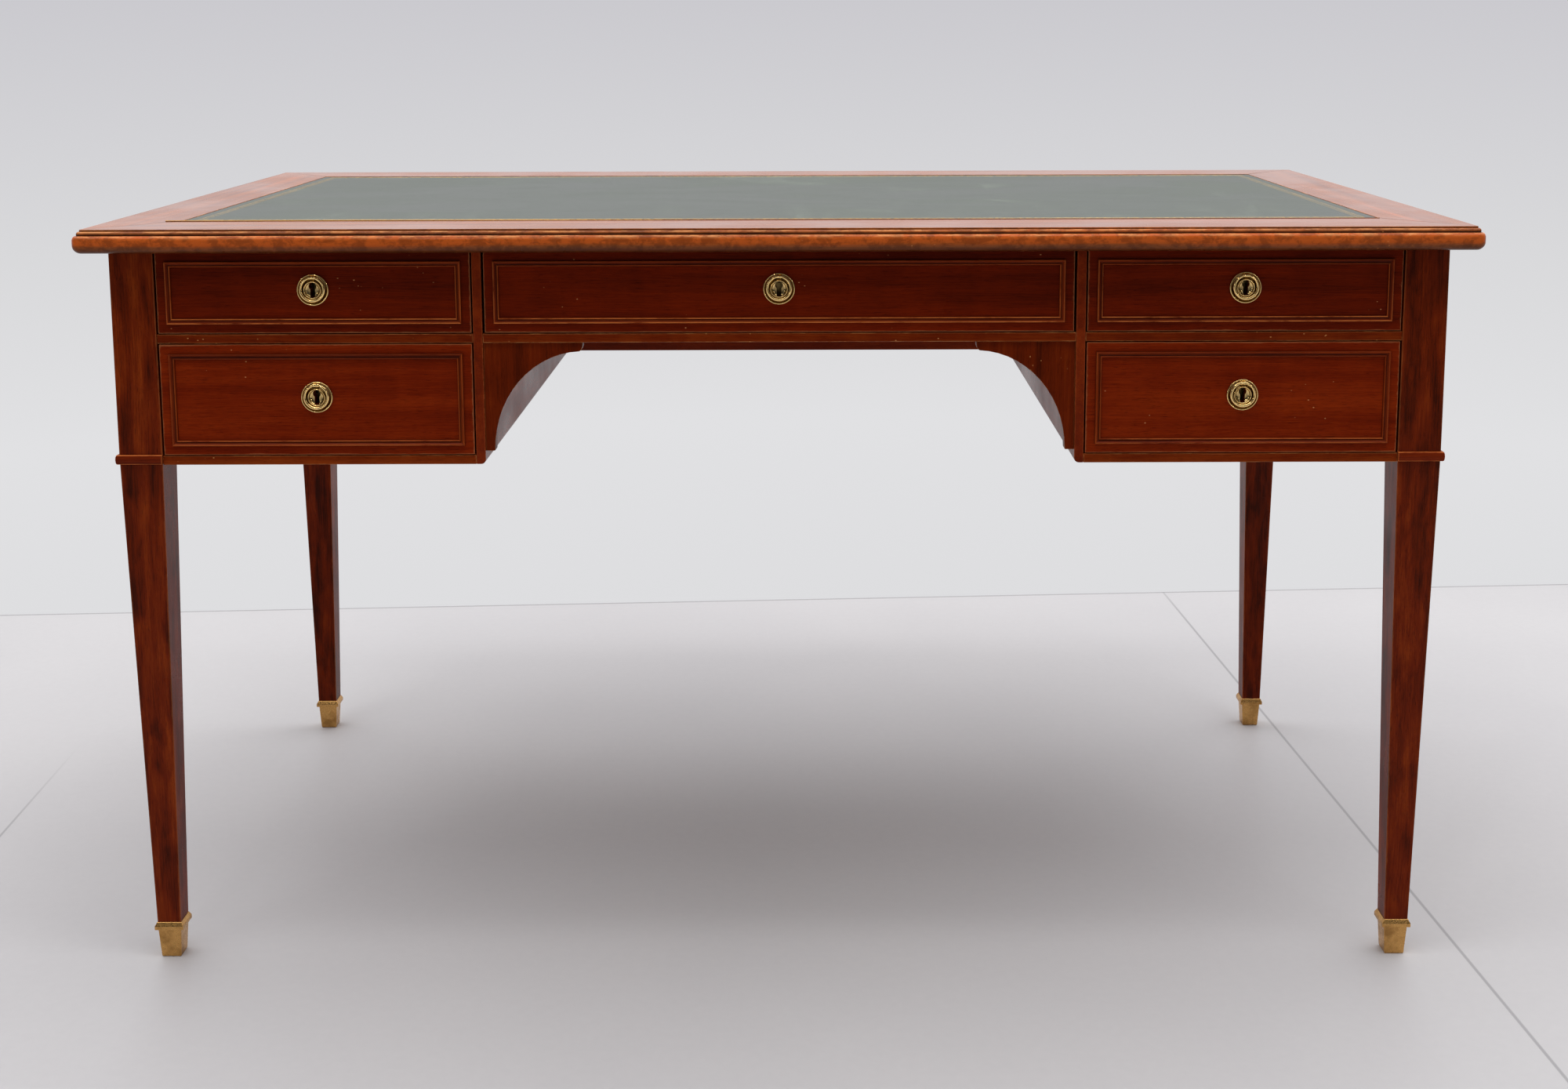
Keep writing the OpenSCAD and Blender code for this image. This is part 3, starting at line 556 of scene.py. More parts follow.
def bolt_pocket(bm, d):
    """Sink a lock bolt's pocket into the underside of the front border board, the size the CAD gives it."""
    (ax, ay, _), (bx, by, bz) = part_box(d + "_lock_bolt")
    near = [v.co for v in NODES["desktop_border"].data.vertices
            if ax - 0.005 < v.co.x < bx + 0.005 and ay - 0.005 < v.co.y < by + 0.005 and v.co.z < bz + 0.012]
    x0, x1 = min(c.x for c in near), max(c.x for c in near)
    y0, y1 = min(c.y for c in near), max(c.y for c in near)
    top = max(c.z for c in near)
    low = min(c.z for c in near)
    assert x1 - x0 > bx - ax and y1 - y0 > by - ay and top > bz

    def under(lo, hi):
        return [f for f in bm.faces if f.normal.z < -0.99 and f.calc_center_median().z < low + 0.0004
                and lo < f.calc_center_median().x < hi]

    def cut(faces, co, no):
        geom = set(faces)
        for f in faces:
            geom.update(f.edges)
            geom.update(f.verts)
        bmesh.ops.bisect_plane(bm, geom=list(geom), dist=1e-6, plane_co=co, plane_no=no)

    for x in (x0, x1):
        cut(under(-1, 1), (x, 0, 0), (1, 0, 0))
    for y in (y0, y1):
        cut(under(x0, x1), (0, y, 0), (0, 1, 0))
    floor = [f for f in under(x0, x1) if y0 < f.calc_center_median().y < y1]
    made = bmesh.ops.extrude_face_region(bm, geom=floor)
    for v in made["geom"]:
        if isinstance(v, bmesh.types.BMVert):
            v.co.z = top
    bmesh.ops.delete(bm, geom=[f for f in floor if f.is_valid], context="FACES_ONLY")
    bmesh.ops.recalc_face_normals(bm, faces=bm.faces[:])


def desktop():
    (x0, y0, z0), (x1, y1, z1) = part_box("desktop_border")
    (a0, b0, _), (a1, b1, _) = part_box("leather_inset")
    # profile from the inner top arris outwards and down: (inset, drop below the surface, rubbed; below zero, painted
    # shade along the rounded underside, and painted shade with old polish in the quirks)
    prof = [(9.0, 0.0, 0.0), (8.0, 0.0, 0.15), (7.7, 0.12, 0.7), (7.55, 0.5, 0.3), (7.55, 1.45, -0.6), (7.55, 1.85, -1.0), (7.25, 1.85, -1.0)]
    prof += [(8.0 - p[0], 4.9 - p[1], w) for p, w in zip(arc(0.7, 0.0, 3.0, 3.1, 84, 4, 9), [-0.5, 0.4, 0.9, 1, 1, 0.8, 0.5, 0.1, -0.3, -0.8])]
    prof += [(4.5, 5.6, -1.0), (4.3, 6.15, -1.0), (3.95, 6.15, -0.9)]
    prof += [(4.0 - p[0], 11.2 - p[1], w) for p, w in zip(arc(0.0, 0.0, 4.0, 5.1, 88, 0, 11), [-0.4, 0.4, 0.8, 1, 1, 0.9, 0.7, 0.4, 0.2, 0.1, 0, 0])]
    prof += [(0.0, 13.4, 0.0), (0.0, 15.6, -0.12)]
    prof += [(9.0 - p[0], 15.8 - p[1], w) for p, w in zip(arc(0.0, 0.0, 9.0, 8.1, 0, -90, 11), [-0.16, -0.22, -0.3, -0.38, -0.46, -0.54, -0.6, -0.66, -0.7, -0.7, -0.7, -0.7])]
    r0, k = 8.5, 12
    hx, hy = (x1 - x0) / 2 / MM, (y1 - y0) / 2 / MM
    ox, oy = (x0 + x1) / 2, (y0 + y1) / 2

    def corner(sx, sy, inset, start, end):
        """Points of a corner arc of the outline at this inset. start and end count eighths of the arc."""
        r = max(r0 - inset, 0.02)
        cxp, cyp = sx * (hx - inset - r), sy * (hy - inset - r)
        out = []
        steps = range(start, end + (1 if end >= start else -1), 1 if end >= start else -1)
        for i in steps:  # 0 is on the front or back side, k is on the left or right side
            a = math.radians(90 * i / k)
            out.append((cxp + sx * r * math.sin(a), cyp + sy * r * math.cos(a)))
        return out

    def board(side):
        g = 0.04
        half = k // 2
        bm = bmesh.new()
        wl = wear_and_shade_layer(bm)
        rows = []
        inner = {"front": ((a0, b0), (a1, b0)), "back": ((a1, b1), (a0, b1)),
                 "left": ((a0, b1), (a0, b0)), "right": ((a1, b0), (a1, b1))}[side]

        def path(inset):
            if side == "front":
                return corner(-1, -1, inset, half, 0) + corner(1, -1, inset, 0, half)
            if side == "right":
                return corner(1, -1, inset, half, k) + corner(1, 1, inset, k, half)
            if side == "back":
                return corner(1, 1, inset, half, 0) + corner(-1, 1, inset, 0, half)
            return corner(-1, 1, inset, half, k) + corner(-1, -1, inset, k, half)

        count = len(path(1.0))

        def inner_row(drop, shrink):
            (ax, ay), (bx, by) = inner
            first = []
            for i in range(count):
                t = 0.0 if i <= half else 1.0
                x, y = (ax, ay) if t == 0 else (bx, by)
                # ease outwards from the leather by shrink
                if side == "front": y -= shrink * MM
                if side == "back": y += shrink * MM
                if side == "left": x -= shrink * MM
                if side == "right": x += shrink * MM
                first.append((x, y, z1 - drop * MM))
            return first

        rows.append((inner_row(24.0, 0.0), 0.0))
        rows.append((inner_row(0.45, 0.0), 0.5))
        rows.append((inner_row(0.12, 0.12), 1.0))
        rows.append((inner_row(0.0, 0.45), 0.6))
        rows.append((inner_row(0.0, 1.5), 0.0))
        for inset, drop, w in prof:
            rows.append(([(ox + x * MM, oy + y * MM, z1 - drop * MM) for x, y in path(inset)], w))
        grid = []
        for pts, w in rows:
            line = []
            for p in pts:
                v = bm.verts.new(p)
                v[wl] = w
                line.append(v)
            grid.append(line)
        n = len(grid)
        for j in range(n):
            a, b = grid[j], grid[(j + 1) % n]
            for i in range(count - 1):
                bm.faces.new((a[i], a[i + 1], b[i + 1], b[i]))
        bm.faces.new([grid[j][0] for j in range(n)])
        bm.faces.new([grid[j][-1] for j in reversed(range(n))])
        bmesh.ops.remove_doubles(bm, verts=bm.verts[:], dist=2e-6)
        bmesh.ops.recalc_face_normals(bm, faces=bm.faces[:])
        # hairline at the mitres
        for v in bm.verts:
            if side in ("front", "back"):
                v.co.x *= 1 - g * MM / 0.7
            else:
                v.co.y *= 1 - g * MM / 0.389
        if side == "front":
            for d in ("left_upper", "centre", "right_upper"):
                bolt_pocket(bm, d)
        lay_grain(bm, 0 if side in ("front", "back") else 1, 0.5, 0.0)
        tl = layer(bm.verts, "float", "tone")
        sh = layer(bm.verts, "float", "shaped")
        for v in bm.verts:      # the flat is more faded than the moulded edge, which is lightest along its bulge
            d = (z1 - v.co.z) / MM
            inside = min(abs(v.co.x - a0), abs(v.co.x - a1), abs(v.co.y - b0), abs(v.co.y - b1)) < 0.0025
            # the light band along the bulge is a painted highlight, and the fall to dark below it is painted shade
            v[tl] = 0.34 if d < 0.2 else 0.45 if d < 6.2 else 0.8 + 0.4 * (d - 6.2) / 4 if d < 10.2 else 1.2 - 1.1 * max(0.0, d - 12.0) / 10
            v[sh] = 0.0 if d < 0.2 or inside else 1.0
        return make_piece("desktop_border_" + side, bm, BODY["desktop_border"], M["top_wood"],
                          ("desktop_border",), sharp=42.0, weighted=True)

    for s in ("front", "right", "back", "left"):
        board(s)


desktop()


def rounded_rect(x0, y0, x1, y1, r, n):
    pts = []
    for cx, cy, a in ((x1 - r, y1 - r, 0), (x0 + r, y1 - r, 90), (x0 + r, y0 + r, 180), (x1 - r, y0 + r, 270)):
        pts += [(cx + r * math.cos(math.radians(a + 90 * i / n)), cy + r * math.sin(math.radians(a + 90 * i / n))) for i in range(n + 1)]
    return pts


def leather():
    """The hide: pasted flat in its recess, its cut edge rolled down, very slightly uneven."""
    (x0, y0, z0), (x1, y1, z1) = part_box("leather_inset")
    bm = bmesh.new()
    nx, ny, e = 124, 62, 0.0007
    xs = [x0 + 0.00015, x0 + e * 0.5, x0 + e] + [x0 + e + (x1 - x0 - 2 * e) * i / nx for i in range(1, nx)] + [x1 - e, x1 - e * 0.5, x1 - 0.00015]
    ys = [y0 + 0.00015, y0 + e * 0.5, y0 + e] + [y0 + e + (y1 - y0 - 2 * e) * i / ny for i in range(1, ny)] + [y1 - e, y1 - e * 0.5, y1 - 0.00015]

    def z_at(x, y):
        d = min(x - x0, x1 - x, y - y0, y1 - y)
        roll = 0.00042 * (1 - min(d / e, 1.0)) ** 2
        wave = noise.noise(Vector((x * 5.0, y * 5.0, 1.7))) * 0.00009 + noise.noise(Vector((x * 17.0, y * 17.0, 4.1))) * 0.00004
        return z1 - roll - 0.00007 + (wave if d > 0.004 else 0.0)

    top = [[bm.verts.new((x, y, z_at(x, y))) for x in xs] for y in ys]
    for j in range(len(ys) - 1):
        for i in range(len(xs) - 1):
            bm.faces.new((top[j][i], top[j][i + 1], top[j + 1][i + 1], top[j + 1][i]))
    rim = top[0] + [r[-1] for r in top[1:]] + top[-1][-2::-1] + [r[0] for r in top[-2:0:-1]]
    low = [bm.verts.new((v.co.x, v.co.y, z0 + 0.00005)) for v in rim]
    for i in range(len(rim)):
        j = (i + 1) % len(rim)
        bm.faces.new((rim[j], rim[i], low[i], low[j]))
    bm.faces.new(low)
    bmesh.ops.recalc_face_normals(bm, faces=bm.faces[:])
    ob = make_piece("leather_top", bm, BODY["leather_inset"], M["desk_leather"], ("leather_inset",), weighted=False, sharp=50)
    return ob


leather_ob = leather()


def tooling():
    """Gilt lines pressed round the hide: a double fillet with a run of small lozenges between."""
    (x0, y0, z0), (x1, y1, z1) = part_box("leather_inset")
    bm = bmesh.new()
    zt = z1 + 0.00004

    def line_frame(inset, width):
        o = [(x0 + inset, y0 + inset), (x1 - inset, y0 + inset), (x1 - inset, y1 - inset), (x0 + inset, y1 - inset)]
        i2 = inset + width
        i = [(x0 + i2, y0 + i2), (x1 - i2, y0 + i2), (x1 - i2, y1 - i2), (x0 + i2, y1 - i2)]
        m = inset + width / 2
        c = [(x0 + m, y0 + m), (x1 - m, y0 + m), (x1 - m, y1 - m), (x0 + m, y1 - m)]
        rows = [[bm.verts.new((*p, zt - 0.00010)) for p in o], [bm.verts.new((*p, zt + 0.00003)) for p in c], [bm.verts.new((*p, zt - 0.00010)) for p in i],
                [bm.verts.new((*p, zt - 0.00022)) for p in c]]
        for a, b in ((0, 1), (1, 2), (2, 3), (3, 0)):
            for k in range(4):
                kk = (k + 1) % 4
                bm.faces.new((rows[a][k], rows[a][kk], rows[b][kk], rows[b][k]))

    line_frame(0.0115, 0.0011)
    line_frame(0.0178, 0.0007)

    def lozenge(cx, cy, ax, ay):
        p = [bm.verts.new((cx + ax, cy, zt - 0.0001)), bm.verts.new((cx, cy + ay, zt - 0.0001)), bm.verts.new((cx - ax, cy, zt - 0.0001)), bm.verts.new((cx, cy - ay, zt - 0.0001))]
        t = bm.verts.new((cx, cy, zt + 0.00004))
        u = bm.verts.new((cx, cy, zt - 0.0002))
        for i in range(4):
            j = (i + 1) % 4
            bm.faces.new((p[i], p[j], t))
            bm.faces.new((p[j], p[i], u))

    m = 0.0152
    nx, ny = 150, 73
    for i in range(nx + 1):
        x = x0 + m + (x1 - x0 - 2 * m) * i / nx
        for y in (y0 + m, y1 - m):
            lozenge(x, y, 0.0026, 0.0011)
    for i in range(1, ny):
        y = y0 + m + (y1 - y0 - 2 * m) * i / ny
        for x in (x0 + m, x1 - m):
            lozenge(x, y, 0.0011, 0.0026)
    bmesh.ops.recalc_face_normals(bm, faces=bm.faces[:])
    return make_piece("gold_tooling", bm, BODY["leather_inset"], M["gold_leaf"], weighted=False, sharp=20)


tooling()


def edge_line():
    """A gilt hairline let into the front board along the hide, with a dark line of painted shadow before it; brightest
    at the left.
    """
    (x0, y0, z0), (x1, y1, z1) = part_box("leather_inset")
    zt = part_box("desktop_border")[1].z
    bm = bmesh.new()
    wl = wear_and_shade_layer(bm)
    n = 60
    ya, yb = y0 - 0.0016, y0 - 0.0002
    rows = []
    for i in range(n + 1):
        t = i / n
        x = x0 - 0.0150 + (x1 - x0 + 0.0150) * t
        k = max(0.12, 1.0 - 1.6 * t)
        top = zt + 0.0005 + 0.00045 * max(0.0, 1.0 - 1.3 * t)
        low = zt + 0.00052 * max(0.4, 1.0 - 1.3 * t)
        ring = [bm.verts.new(q) for q in ((x, ya, zt - 0.0003), (x, ya, low - 0.00004), (x, ya, low), (x, ya + 0.00008, top - 0.00006),
                                          (x, ya + 0.00022, top), (x, yb - 0.0001, top), (x, yb, top - 0.0002), (x, yb, zt - 0.0003))]
        # the strip's lower front and its back foot are set below zero: near-black painted shadow of the recess
        for v, w in zip(ring, (-1, -1, k, k, k, k, k, -0.5)):
            v[wl] = w
        rows.append(ring)
    for a, b in zip(rows, rows[1:]):
        for j in range(8):
            kk = (j + 1) % 8
            bm.faces.new((a[j], a[kk], b[kk], b[j]))
    bm.faces.new(rows[0])
    bm.faces.new(list(reversed(rows[-1])))
    bmesh.ops.recalc_face_normals(bm, faces=bm.faces[:])
    return make_piece("gilt_hairline", bm, BODY["desktop_border"], M["gilt_line"], weighted=False, sharp=60)


edge_line()


# ---------------------------------------------------------------- drawers
DRAWERS = ["left_upper", "left_lower", "centre", "right_upper", "right_lower"]


def moulding_frame(d):
    """Four mitred strips: an outer fillet, a rounded ramp, a quirk and an inner bead."""
    node = d + "_front_moulding"
    (x0, yb, z0), (x1, yf, z1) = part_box(node)
    face = max(yb, yf)      # the plane of the drawer front
    out = -1.0
    # distance from the outer edge, height, rubbed (below zero: painted shade, with old polish, in the quirk, in the
    # hollow and where the strip meets the front), in mm
    rows_in = [(0.0, -0.05, -0.8), (0.0, 1.4, -0.6), (0.05, 2.2, 0.2), (0.25, 2.65, 0.8), (0.6, 2.93, 1), (1.0, 3.0, 0.9), (1.4, 2.9, 0.4),
               (1.75, 2.6, 0), (2.1, 2.1, -0.2), (2.5, 1.68, -0.35), (3.1, 1.42, -0.5), (3.7, 1.36, -0.7), (4.02, 1.3, -1), (4.12, 1.35, -0.9),
               (4.22, 1.75, 0), (4.5, 2.05, 0.6), (4.85, 2.18, 1), (5.2, 2.05, 1), (5.45, 1.75, 0.5), (5.62, 1.3, 0), (5.82, 0.6, -0.5), (6.0, -0.05, -1)]
    prof = [r[:2] for r in rows_in]
    rub_and_shade = [r[2] for r in rows_in]
    m = 0.04 * MM
    bm = bmesh.new()
    wl = wear_and_shade_layer(bm)
    for side in range(4):
        rows = []
        for (q, h), w in zip(prof, rub_and_shade):
            q, h = q * MM, h * MM
            c = [(x0 + q, z0 + q), (x1 - q, z0 + q), (x1 - q, z1 - q), (x0 + q, z1 - q)]
            p, r = c[side], c[(side + 1) % 4]
            dx, dz = (Vector(r) - Vector(p)).normalized()
            a = bm.verts.new((p[0] + dx * m, face + out * h, p[1] + dz * m))
            b = bm.verts.new((r[0] - dx * m, face + out * h, r[1] - dz * m))
            # the pale colour on the ridges is strongest on the bottom strips and weakest on the top ones, and half as
            # strong on the lower drawers
            k = {0: 1.0, 1: 0.36, 2: 0.14, 3: 0.42}[side] * (1.0 if "upper" in d or d == "centre" else 0.5)
            a[wl] = b[wl] = w * k if w > 0 else w
            rows.append((a, b))
        n = len(rows)
        for i in range(n):
            (a, b), (c2, e2) = rows[i], rows[(i + 1) % n]
            bm.faces.new((a, b, e2, c2))
        bm.faces.new([r[0] for r in rows])
        bm.faces.new([r[1] for r in reversed(rows)])
    bmesh.ops.recalc_face_normals(bm, faces=bm.faces[:])
    lay_grain(bm, None, 0.5, 0.10)
    return make_piece(node + "_strips", bm, BODY[node], M["moulding_wood"], (node,), sharp=38.0)


def key_radius(a):
    """Distance from the plate centre to the keyhole's edge, in mm, in direction a: a circle over a slot."""
    c, s = math.cos(a), math.sin(a)
    b = 3.6 * s
    disc = b * b - (3.6 ** 2 - 4.0 ** 2)
    best = b + math.sqrt(disc)                       # far side of the circle
    w = 2.45 / abs(c) if abs(c) > 1e-9 else 1e9
    t = min(w, 7.4 / -s if s < -1e-9 else 1e9)
    inside = t * s <= 3.6 + 1e-9
    return max(best, t) if inside else best


def pull_plate(d):
    """Turned brass plate: rim, channel for the ring, raised boss with a dished well and the keyhole through it, and the knuckle."""
    node = d + "_pull_plate"
    (x0, ya, z0), (x1, yb, z1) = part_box(node)
    xc, zc, face = (x0 + x1) / 2, (z0 + z1) / 2, max(ya, yb)
    bm = bmesh.new()
    wl = wear_and_shade_layer(bm)
    seg = 96
    # radius, height, rubbed
    outer = [(16.0, 0.0, -0.5), (16.0, 1.9, -0.4), (15.9, 2.3, -0.2), (15.6, 2.55, 0.1), (15.2, 2.6, 0.1), (14.8, 2.5, -0.2), (14.45, 2.2, -0.4),
             (14.2, 1.7, -0.4), (13.9, 1.45, -0.8), (12.5, 1.32, -1), (11.0, 1.3, -1), (9.7, 1.4, -0.9), (9.25, 1.6, -0.8), (9.05, 2.1, -0.3), (9.0, 3.3, 0.4),
             (8.95, 3.9, 0.8), (8.75, 4.25, 1), (8.4, 4.4, 1), (8.1, 4.35, 0.9), (7.85, 4.1, 0.7)]

    def dish(r):
        # stepped well: lip, shoulder, floor
        if r > 6.9:
            t = (r - 6.9) / (7.7 - 6.9)
            return 2.6 + 1.25 * t * t
        if r > 5.6:
            return 2.6 - 0.9 * (6.9 - r) / 1.3
        return 1.7 - 0.25 * (5.6 - r) / 5.6

    rings = [[(r, h, w) for _ in range(seg)] for r, h, w in outer]
    angles = [2 * math.pi * (i + 0.5) / seg for i in range(seg)]
    neck = 3.6 - math.sqrt(4.0 ** 2 - 2.45 ** 2)
    for cx, cz in ((2.45, -7.4), (-2.45, -7.4), (2.45, neck), (-2.45, neck)):
        exact = math.atan2(cz, cx) % (2 * math.pi)
        angles[min(range(seg), key=lambda i: abs(angles[i] - exact))] = exact
    for s in (1.0, 0.86, 0.72, 0.55, 0.38, 0.2, 0.06, 0.0):
        ring = []
        for a in angles:
            k = key_radius(a)
            r = k + s * (7.7 - k)
            ring.append((r, dish(r), 0.5 if s == 0.06 else -0.45 if s in (0.0, 0.86) else -0.3))
        rings.append(ring)
    # the keyhole's walls are set far below zero and painted near black: painted shade inside the hole
    rings.append([(key_radius(a) + 0.01, 1.1, -1) for a in angles])
    rings.append([(key_radius(a) + 0.02, 0.0, -1) for a in angles])
    grid = []
    for ring in rings:
        line = []
        for (r, h, w), a in zip(ring, angles):
            v = bm.verts.new((xc + r * MM * math.cos(a), face - h * MM, zc + r * MM * math.sin(a)))
            v[wl] = w
            line.append(v)
        grid.append(line)
    for j in range(len(grid)):
        a, b = grid[j], grid[(j + 1) % len(grid)]
        for i in range(seg):
            k = (i + 1) % seg
            bm.faces.new((a[i], a[k], b[k], b[i]))
    # knuckle: a rounded barrel block, cut through for the pin
    ky, kz = 4.5, 0.8 + 11.8
    prof = [(-1.75, 1.25)] + [(p[0], p[1]) for p in arc(0.0, ky, 1.75, 1.6, 180, 0, 12)] + [(1.75, 1.25)]
    hw = 3.3

    def ring_at(x, grow):
        out = []
        for z, y in prof:
            zz, yy = z * grow, (ky + (y - ky) * grow) if y > 1.3 else y
            v = bm.verts.new((xc + x * MM, face - yy * MM, zc + (kz + zz) * MM))
            v[wl] = 0.7
            out.append(v)
        return out
    loops = [ring_at(-hw, 0.86), ring_at(-hw + 0.12, 0.96), ring_at(-hw + 0.35, 1.0), ring_at(-0.9, 1.0), ring_at(-0.75, 0.93), ring_at(0.75, 0.93), ring_at(0.9, 1.0),
             ring_at(hw - 0.35, 1.0), ring_at(hw - 0.12, 0.96), ring_at(hw, 0.86)]
    for a, b in zip(loops, loops[1:]):
        for i in range(len(a)):
            k = (i + 1) % len(a)
            bm.faces.new((a[i], a[k], b[k], b[i]))
    # end faces with the pin's hole
    for loop, x, flip in ((loops[0], -hw, False), (loops[-1], hw, True)):
        hole = []
        for i in range(len(loop)):
            a = math.pi - math.pi * 2 * i / len(loop)
            v = bm.verts.new((xc + x * MM, face - (ky + 0.85 * math.sin(a)) * MM, zc + (kz + 0.85 * math.cos(a)) * MM))
            hole.append(v)
        # match hole points to the outline by angle
        def ang(v):
            return math.atan2((face - v.co.y) / MM - ky, (v.co.z - zc) / MM - kz)
        L = sorted(loop, key=ang)
        H = sorted(hole, key=ang)
        for i in range(len(L)):
            k = (i + 1) % len(L)
            bm.faces.new((L[i], L[k], H[k], H[i]))
        deep = [bm.verts.new((v.co.x + (0.9 if not flip else -0.9) * MM, v.co.y, v.co.z)) for v in H]
        for i in range(len(H)):
            k = (i + 1) % len(H)
            bm.faces.new((H[i], H[k], deep[k], deep[i]))
        bm.faces.new(deep)
    bmesh.ops.recalc_face_normals(bm, faces=bm.faces[:])
    return make_piece(node + "_turned", bm, BODY[node], M["aged_brass"], (node,), sharp=50.0, weighted=False)


def pull_ring(d):
    """Cast ring, a little thicker at the bottom, its two ends meeting the pin in the knuckle."""
    node = d + "_pull_ring"
    (x0, ya, z0), (x1, yb, z1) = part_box(node)
    pz = (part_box(d + "_pull_plate")[0].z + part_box(d + "_pull_plate")[1].z) / 2
    xc, yc, zc = (x0 + x1) / 2, (ya + yb) / 2, pz + 0.8 * MM
    R, n, m = 11.8, 96, 20
    bm = bmesh.new()
    wl = wear_and_shade_layer(bm)
    gap = math.asin(3.7 / R)
    rows = []
    for i in range(n + 1):
        a = math.pi / 2 + gap + (2 * math.pi - 2 * gap) * i / n
        down = 0.5 - 0.5 * math.sin(a)                # 1 at the bottom
        end = min(i, n - i) / 3.0
        wr = (1.42 + 0.16 * down) * (0.82 + 0.18 * min(end, 1.0))
        row = []
        for j in range(m):
            t = 2 * math.pi * j / m
            # flattened a little front to back
            r = R + wr * math.cos(t)
            v = bm.verts.new((xc + r * math.cos(a) * MM, yc - wr * 0.98 * math.sin(t) * MM, zc + r * math.sin(a) * MM))
            v[wl] = 0.5 + 0.5 * max(0.0, math.sin(t))
            row.append(v)
        rows.append(row)
    for a, b in zip(rows, rows[1:]):
        for j in range(m):
            k = (j + 1) % m
            bm.faces.new((a[j], a[k], b[k], b[j]))
    bm.faces.new(rows[0])
    bm.faces.new(list(reversed(rows[-1])))
    # pivot pin
    ends = []
    for x in (-4.3, 4.3):
        ends.append([bm.verts.new((xc + x * MM, yc + 0.78 * math.sin(2 * math.pi * j / 16) * MM, zc + (R + 0.78 * math.cos(2 * math.pi * j / 16)) * MM)) for j in range(16)])
    for j in range(16):
        k = (j + 1) % 16
        bm.faces.new((ends[0][j], ends[0][k], ends[1][k], ends[1][j]))
    bm.faces.new(ends[0])
    bm.faces.new(list(reversed(ends[1])))
    bmesh.ops.recalc_face_normals(bm, faces=bm.faces[:])
    return make_piece(node + "_cast", bm, BODY[node], M["aged_brass"], (node,), sharp=50.0, weighted=False)


for d in DRAWERS:
    # the upper and centre fronts get a much darker tone than the lower ones: painted shade under the overhanging top
    dressed(d + "_drawer_front", width=0.8 * MM, axis=0, tone=0.6 if "lower" in d else 0.26, spread=0.02, segments=3)
    dressed(d + "_drawer_box", width=0.6 * MM, spread=0.2, segments=1)
    moulding_frame(d)
    pull_plate(d)
    pull_ring(d)
    dressed(d + "_lock_case", width=0.25 * MM, segments=1)
    dressed(d + "_lock_bolt", width=0.25 * MM, segments=1)

# ---------------------------------------------------------------- sabots
dressed("brass_sabots", mat="sabot_brass", width=0.5 * MM, segments=3, sharp=40.0)


# ---------------------------------------------------------------- stage, light, camera
def stage_floor():
    """A pale floor that stops where the studio wall would stand; the wall itself is the world's colour."""
    bm = bmesh.new()
    xs = [-9.0 + 18.0 * i / 24 for i in range(25)]
    rows = 15
    grid = [[bm.verts.new((x, -9.0 + (FLOOR_BACK + BACK_SLOPE * x + 9.0) * j / (rows - 1), 0)) for x in xs] for j in range(rows)]
    for j in range(rows - 1):
        for i in range(len(xs) - 1):
            bm.faces.new((grid[j][i], grid[j][i + 1], grid[j + 1][i + 1], grid[j + 1][i]))
    me = bpy.data.meshes.new("floor")
    bm.to_mesh(me)
    bm.free()
    ob = bpy.data.objects.new("floor", me)
    me.materials.append(floor_paint("floor_paint"))
    SCENE.collection.objects.link(ob)


FLOOR_BACK, BACK_SLOPE = 0.944, 0.0587   # the desk stands a little askew in the room
stage_floor()

world = bpy.data.worlds.new("studio") if SCENE.world is None else SCENE.world
SCENE.world = world
world.use_nodes = True
wt = world.node_tree
wt.nodes.clear()
w_out = wt.nodes.new("ShaderNodeOutputWorld")
w_bg = wt.nodes.new("ShaderNodeBackground")
w_tc = wt.nodes.new("ShaderNodeTexCoord")
w_sep = wt.nodes.new("ShaderNodeSeparateXYZ")
wt.links.new(w_tc.outputs["Generated"], w_sep.inputs[0])


def sky_ramp(stops):
    """Colour by how high the direction points, from -0.35 up to straight overhead."""
    m = wt.nodes.new("ShaderNodeMapRange")
    m.inputs["From Min"].default_value = -0.35
    m.inputs["From Max"].default_value = 1.0
    wt.links.new(w_sep.outputs["Z"], m.inputs["Value"])
    r = wt.nodes.new("ShaderNodeValToRGB")
    wt.links.new(m.outputs["Result"], r.inputs[0])
    el = r.color_ramp.elements
    pos = [((z + 0.35) / 1.35, c) for z, c in stops]
    el[0].position, el[0].color = pos[0][0], (*pos[0][1], 1)
    el[1].position, el[1].color = pos[-1][0], (*pos[-1][1], 1)
    for p, c in pos[1:-1]:
        k = el.new(p)
        k.color = (*c, 1)
    return r.outputs[0]


behind = sky_ramp([(-0.30, srgb(221, 221, 223)), (-0.20, srgb(225, 225, 227)), (-0.11, srgb(217, 217, 219)), (0.02, srgb(202, 201, 206)),
                   (0.06, srgb(224, 223, 226)), (0.14, srgb(228, 227, 230)), (0.4, srgb(205, 205, 208)), (0.7, srgb(170, 170, 173)), (1.0, srgb(150, 150, 153))])
before = sky_ramp([(-0.35, (0.02, 0.02, 0.02)), (0.1, (0.02, 0.02, 0.021)), (0.4, (0.05, 0.05, 0.05)), (0.7, (0.2, 0.2, 0.2)), (1.0, srgb(150, 150, 153))])
w_side = wt.nodes.new("ShaderNodeMapRange")
w_side.interpolation_type = "SMOOTHSTEP"
w_side.inputs["From Min"].default_value = -0.45
w_side.inputs["From Max"].default_value = 0.25
wt.links.new(w_sep.outputs["Y"], w_side.inputs["Value"])
w_mix = wt.nodes.new("ShaderNodeMix")
w_mix.data_type = "RGBA"
wt.links.new(w_side.outputs["Result"], w_mix.inputs[0])
wt.links.new(before, w_mix.inputs[6])
wt.links.new(behind, w_mix.inputs[7])
wt.links.new(w_mix.outputs[2], w_bg.inputs["Color"])
w_bg.inputs["Strength"].default_value = 1.0
wt.links.new(w_bg.outputs[0], w_out.inputs["Surface"])


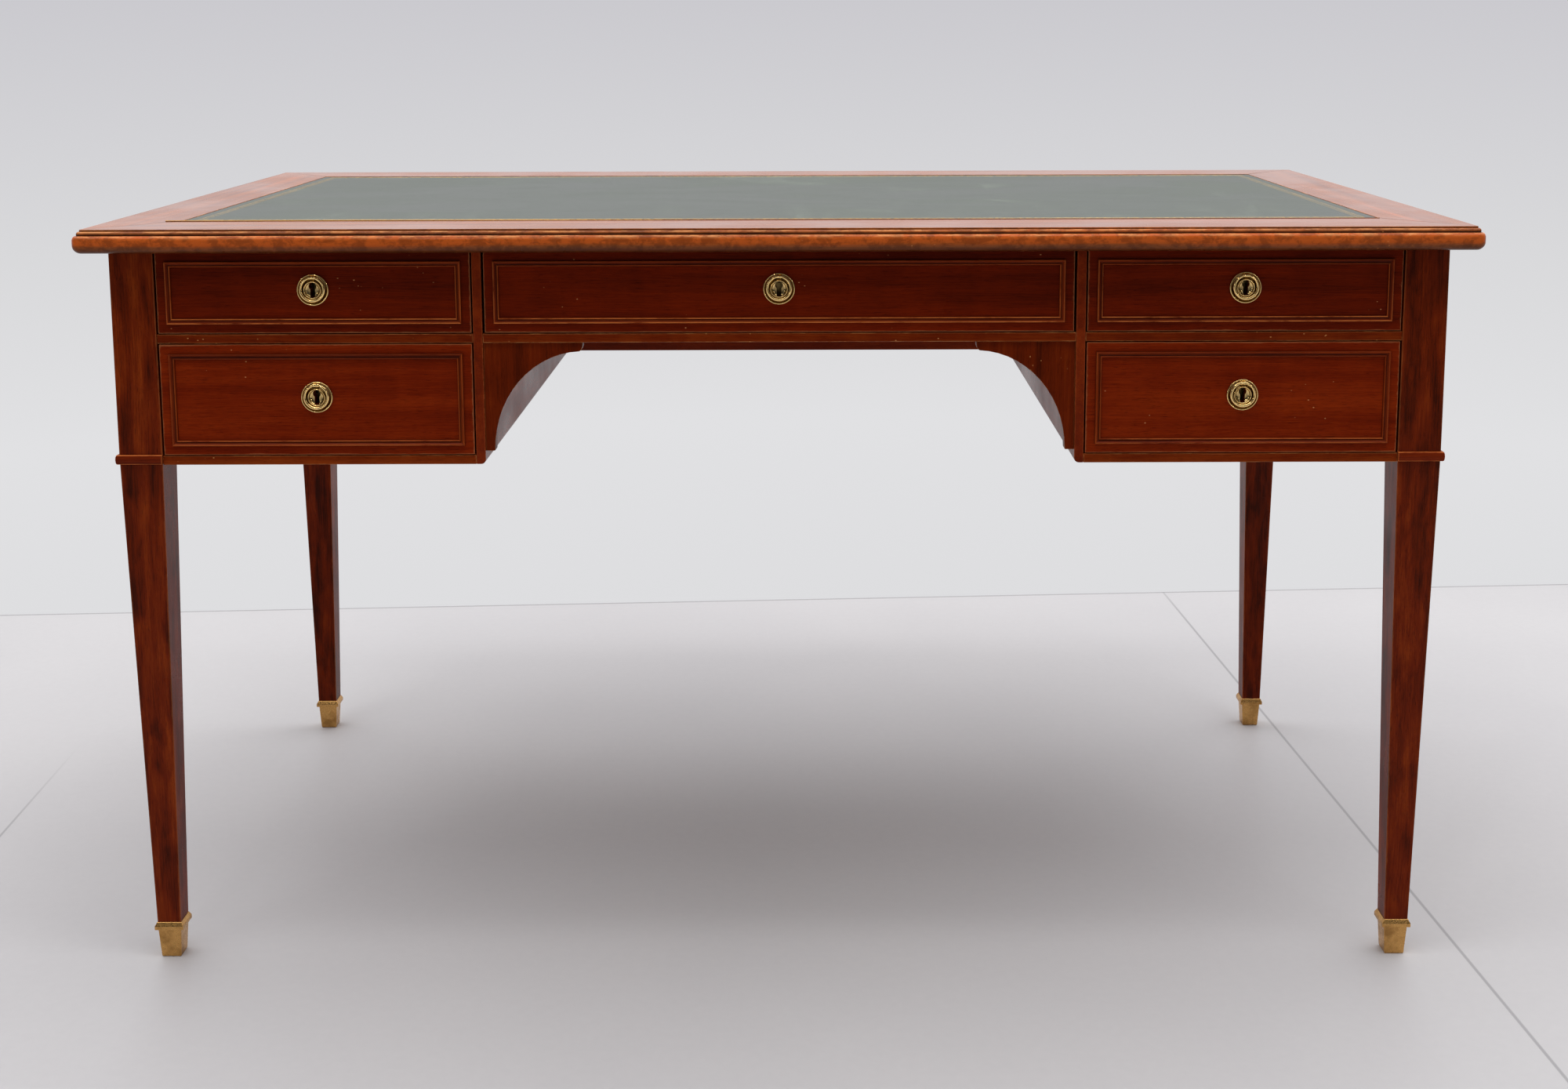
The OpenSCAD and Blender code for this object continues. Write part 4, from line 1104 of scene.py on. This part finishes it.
def area(name, loc, target, size, power, color=(1, 1, 1)):
    l = bpy.data.lights.new(name, "AREA")
    l.shape, l.size, l.size_y = "RECTANGLE", size[0], size[1]
    l.energy, l.color = power, color
    ob = bpy.data.objects.new(name, l)
    ob.location = loc
    ob.rotation_mode = "QUATERNION"
    ob.rotation_quaternion = (Vector(target) - Vector(loc)).to_track_quat("-Z", "Y")
    SCENE.collection.objects.link(ob)
    return ob


area("sky_panel", (0.35, 0.95, 3.2), (0.35, 0.4, 0.6), (8.4, 3.9), 188)
area("window_front", (0.1, -1.45, 4.0), (0.1, -0.2, 0.4), (5.6, 1.6), 84)
area("strip_left", (-3.0, -3.6, 1.5), (-0.3, -0.3, 0.7), (0.1, 1.2), 6)
area("strip_right", (2.6, -3.8, 1.7), (0.3, -0.3, 0.7), (0.1, 1.0), 6)
area("lamp_high", (-0.9, -3.0, 2.5), (0.0, -0.36, 0.65), (0.16, 0.16), 4)

cam = bpy.data.cameras.new("camera")
cam_ob = bpy.data.objects.new("camera", cam)
SCENE.collection.objects.link(cam_ob)
SCENE.camera = cam_ob
F, U0, V0 = 2463.79, 1031.55, 396.34
cam.sensor_fit = "HORIZONTAL"
cam.sensor_width = 36.0
cam.lens = F / 2000 * 36.0
cam.shift_x = -(U0 - 1000) / 2000
cam.shift_y = -(694.5 - V0) / 2000
yaw, pitch, roll = math.radians(-0.0574), math.radians(8.3423), math.radians(0.1627)
fwd = Vector((math.sin(yaw) * math.cos(pitch), math.cos(yaw) * math.cos(pitch), -math.sin(pitch)))
right = Vector((math.cos(yaw), -math.sin(yaw), 0))
down = fwd.cross(right)
r2 = math.cos(roll) * right + math.sin(roll) * down
d2 = -math.sin(roll) * right + math.cos(roll) * down
rot = Matrix((r2, -d2, -fwd)).transposed()
cam_ob.matrix_world = Matrix.Translation((0.03173, -2.28917, 0.97852)) @ rot.to_4x4()
cam.clip_start, cam.clip_end = 0.05, 60.0

SCENE.view_settings.view_transform = "Standard"
SCENE.view_settings.look = "None"
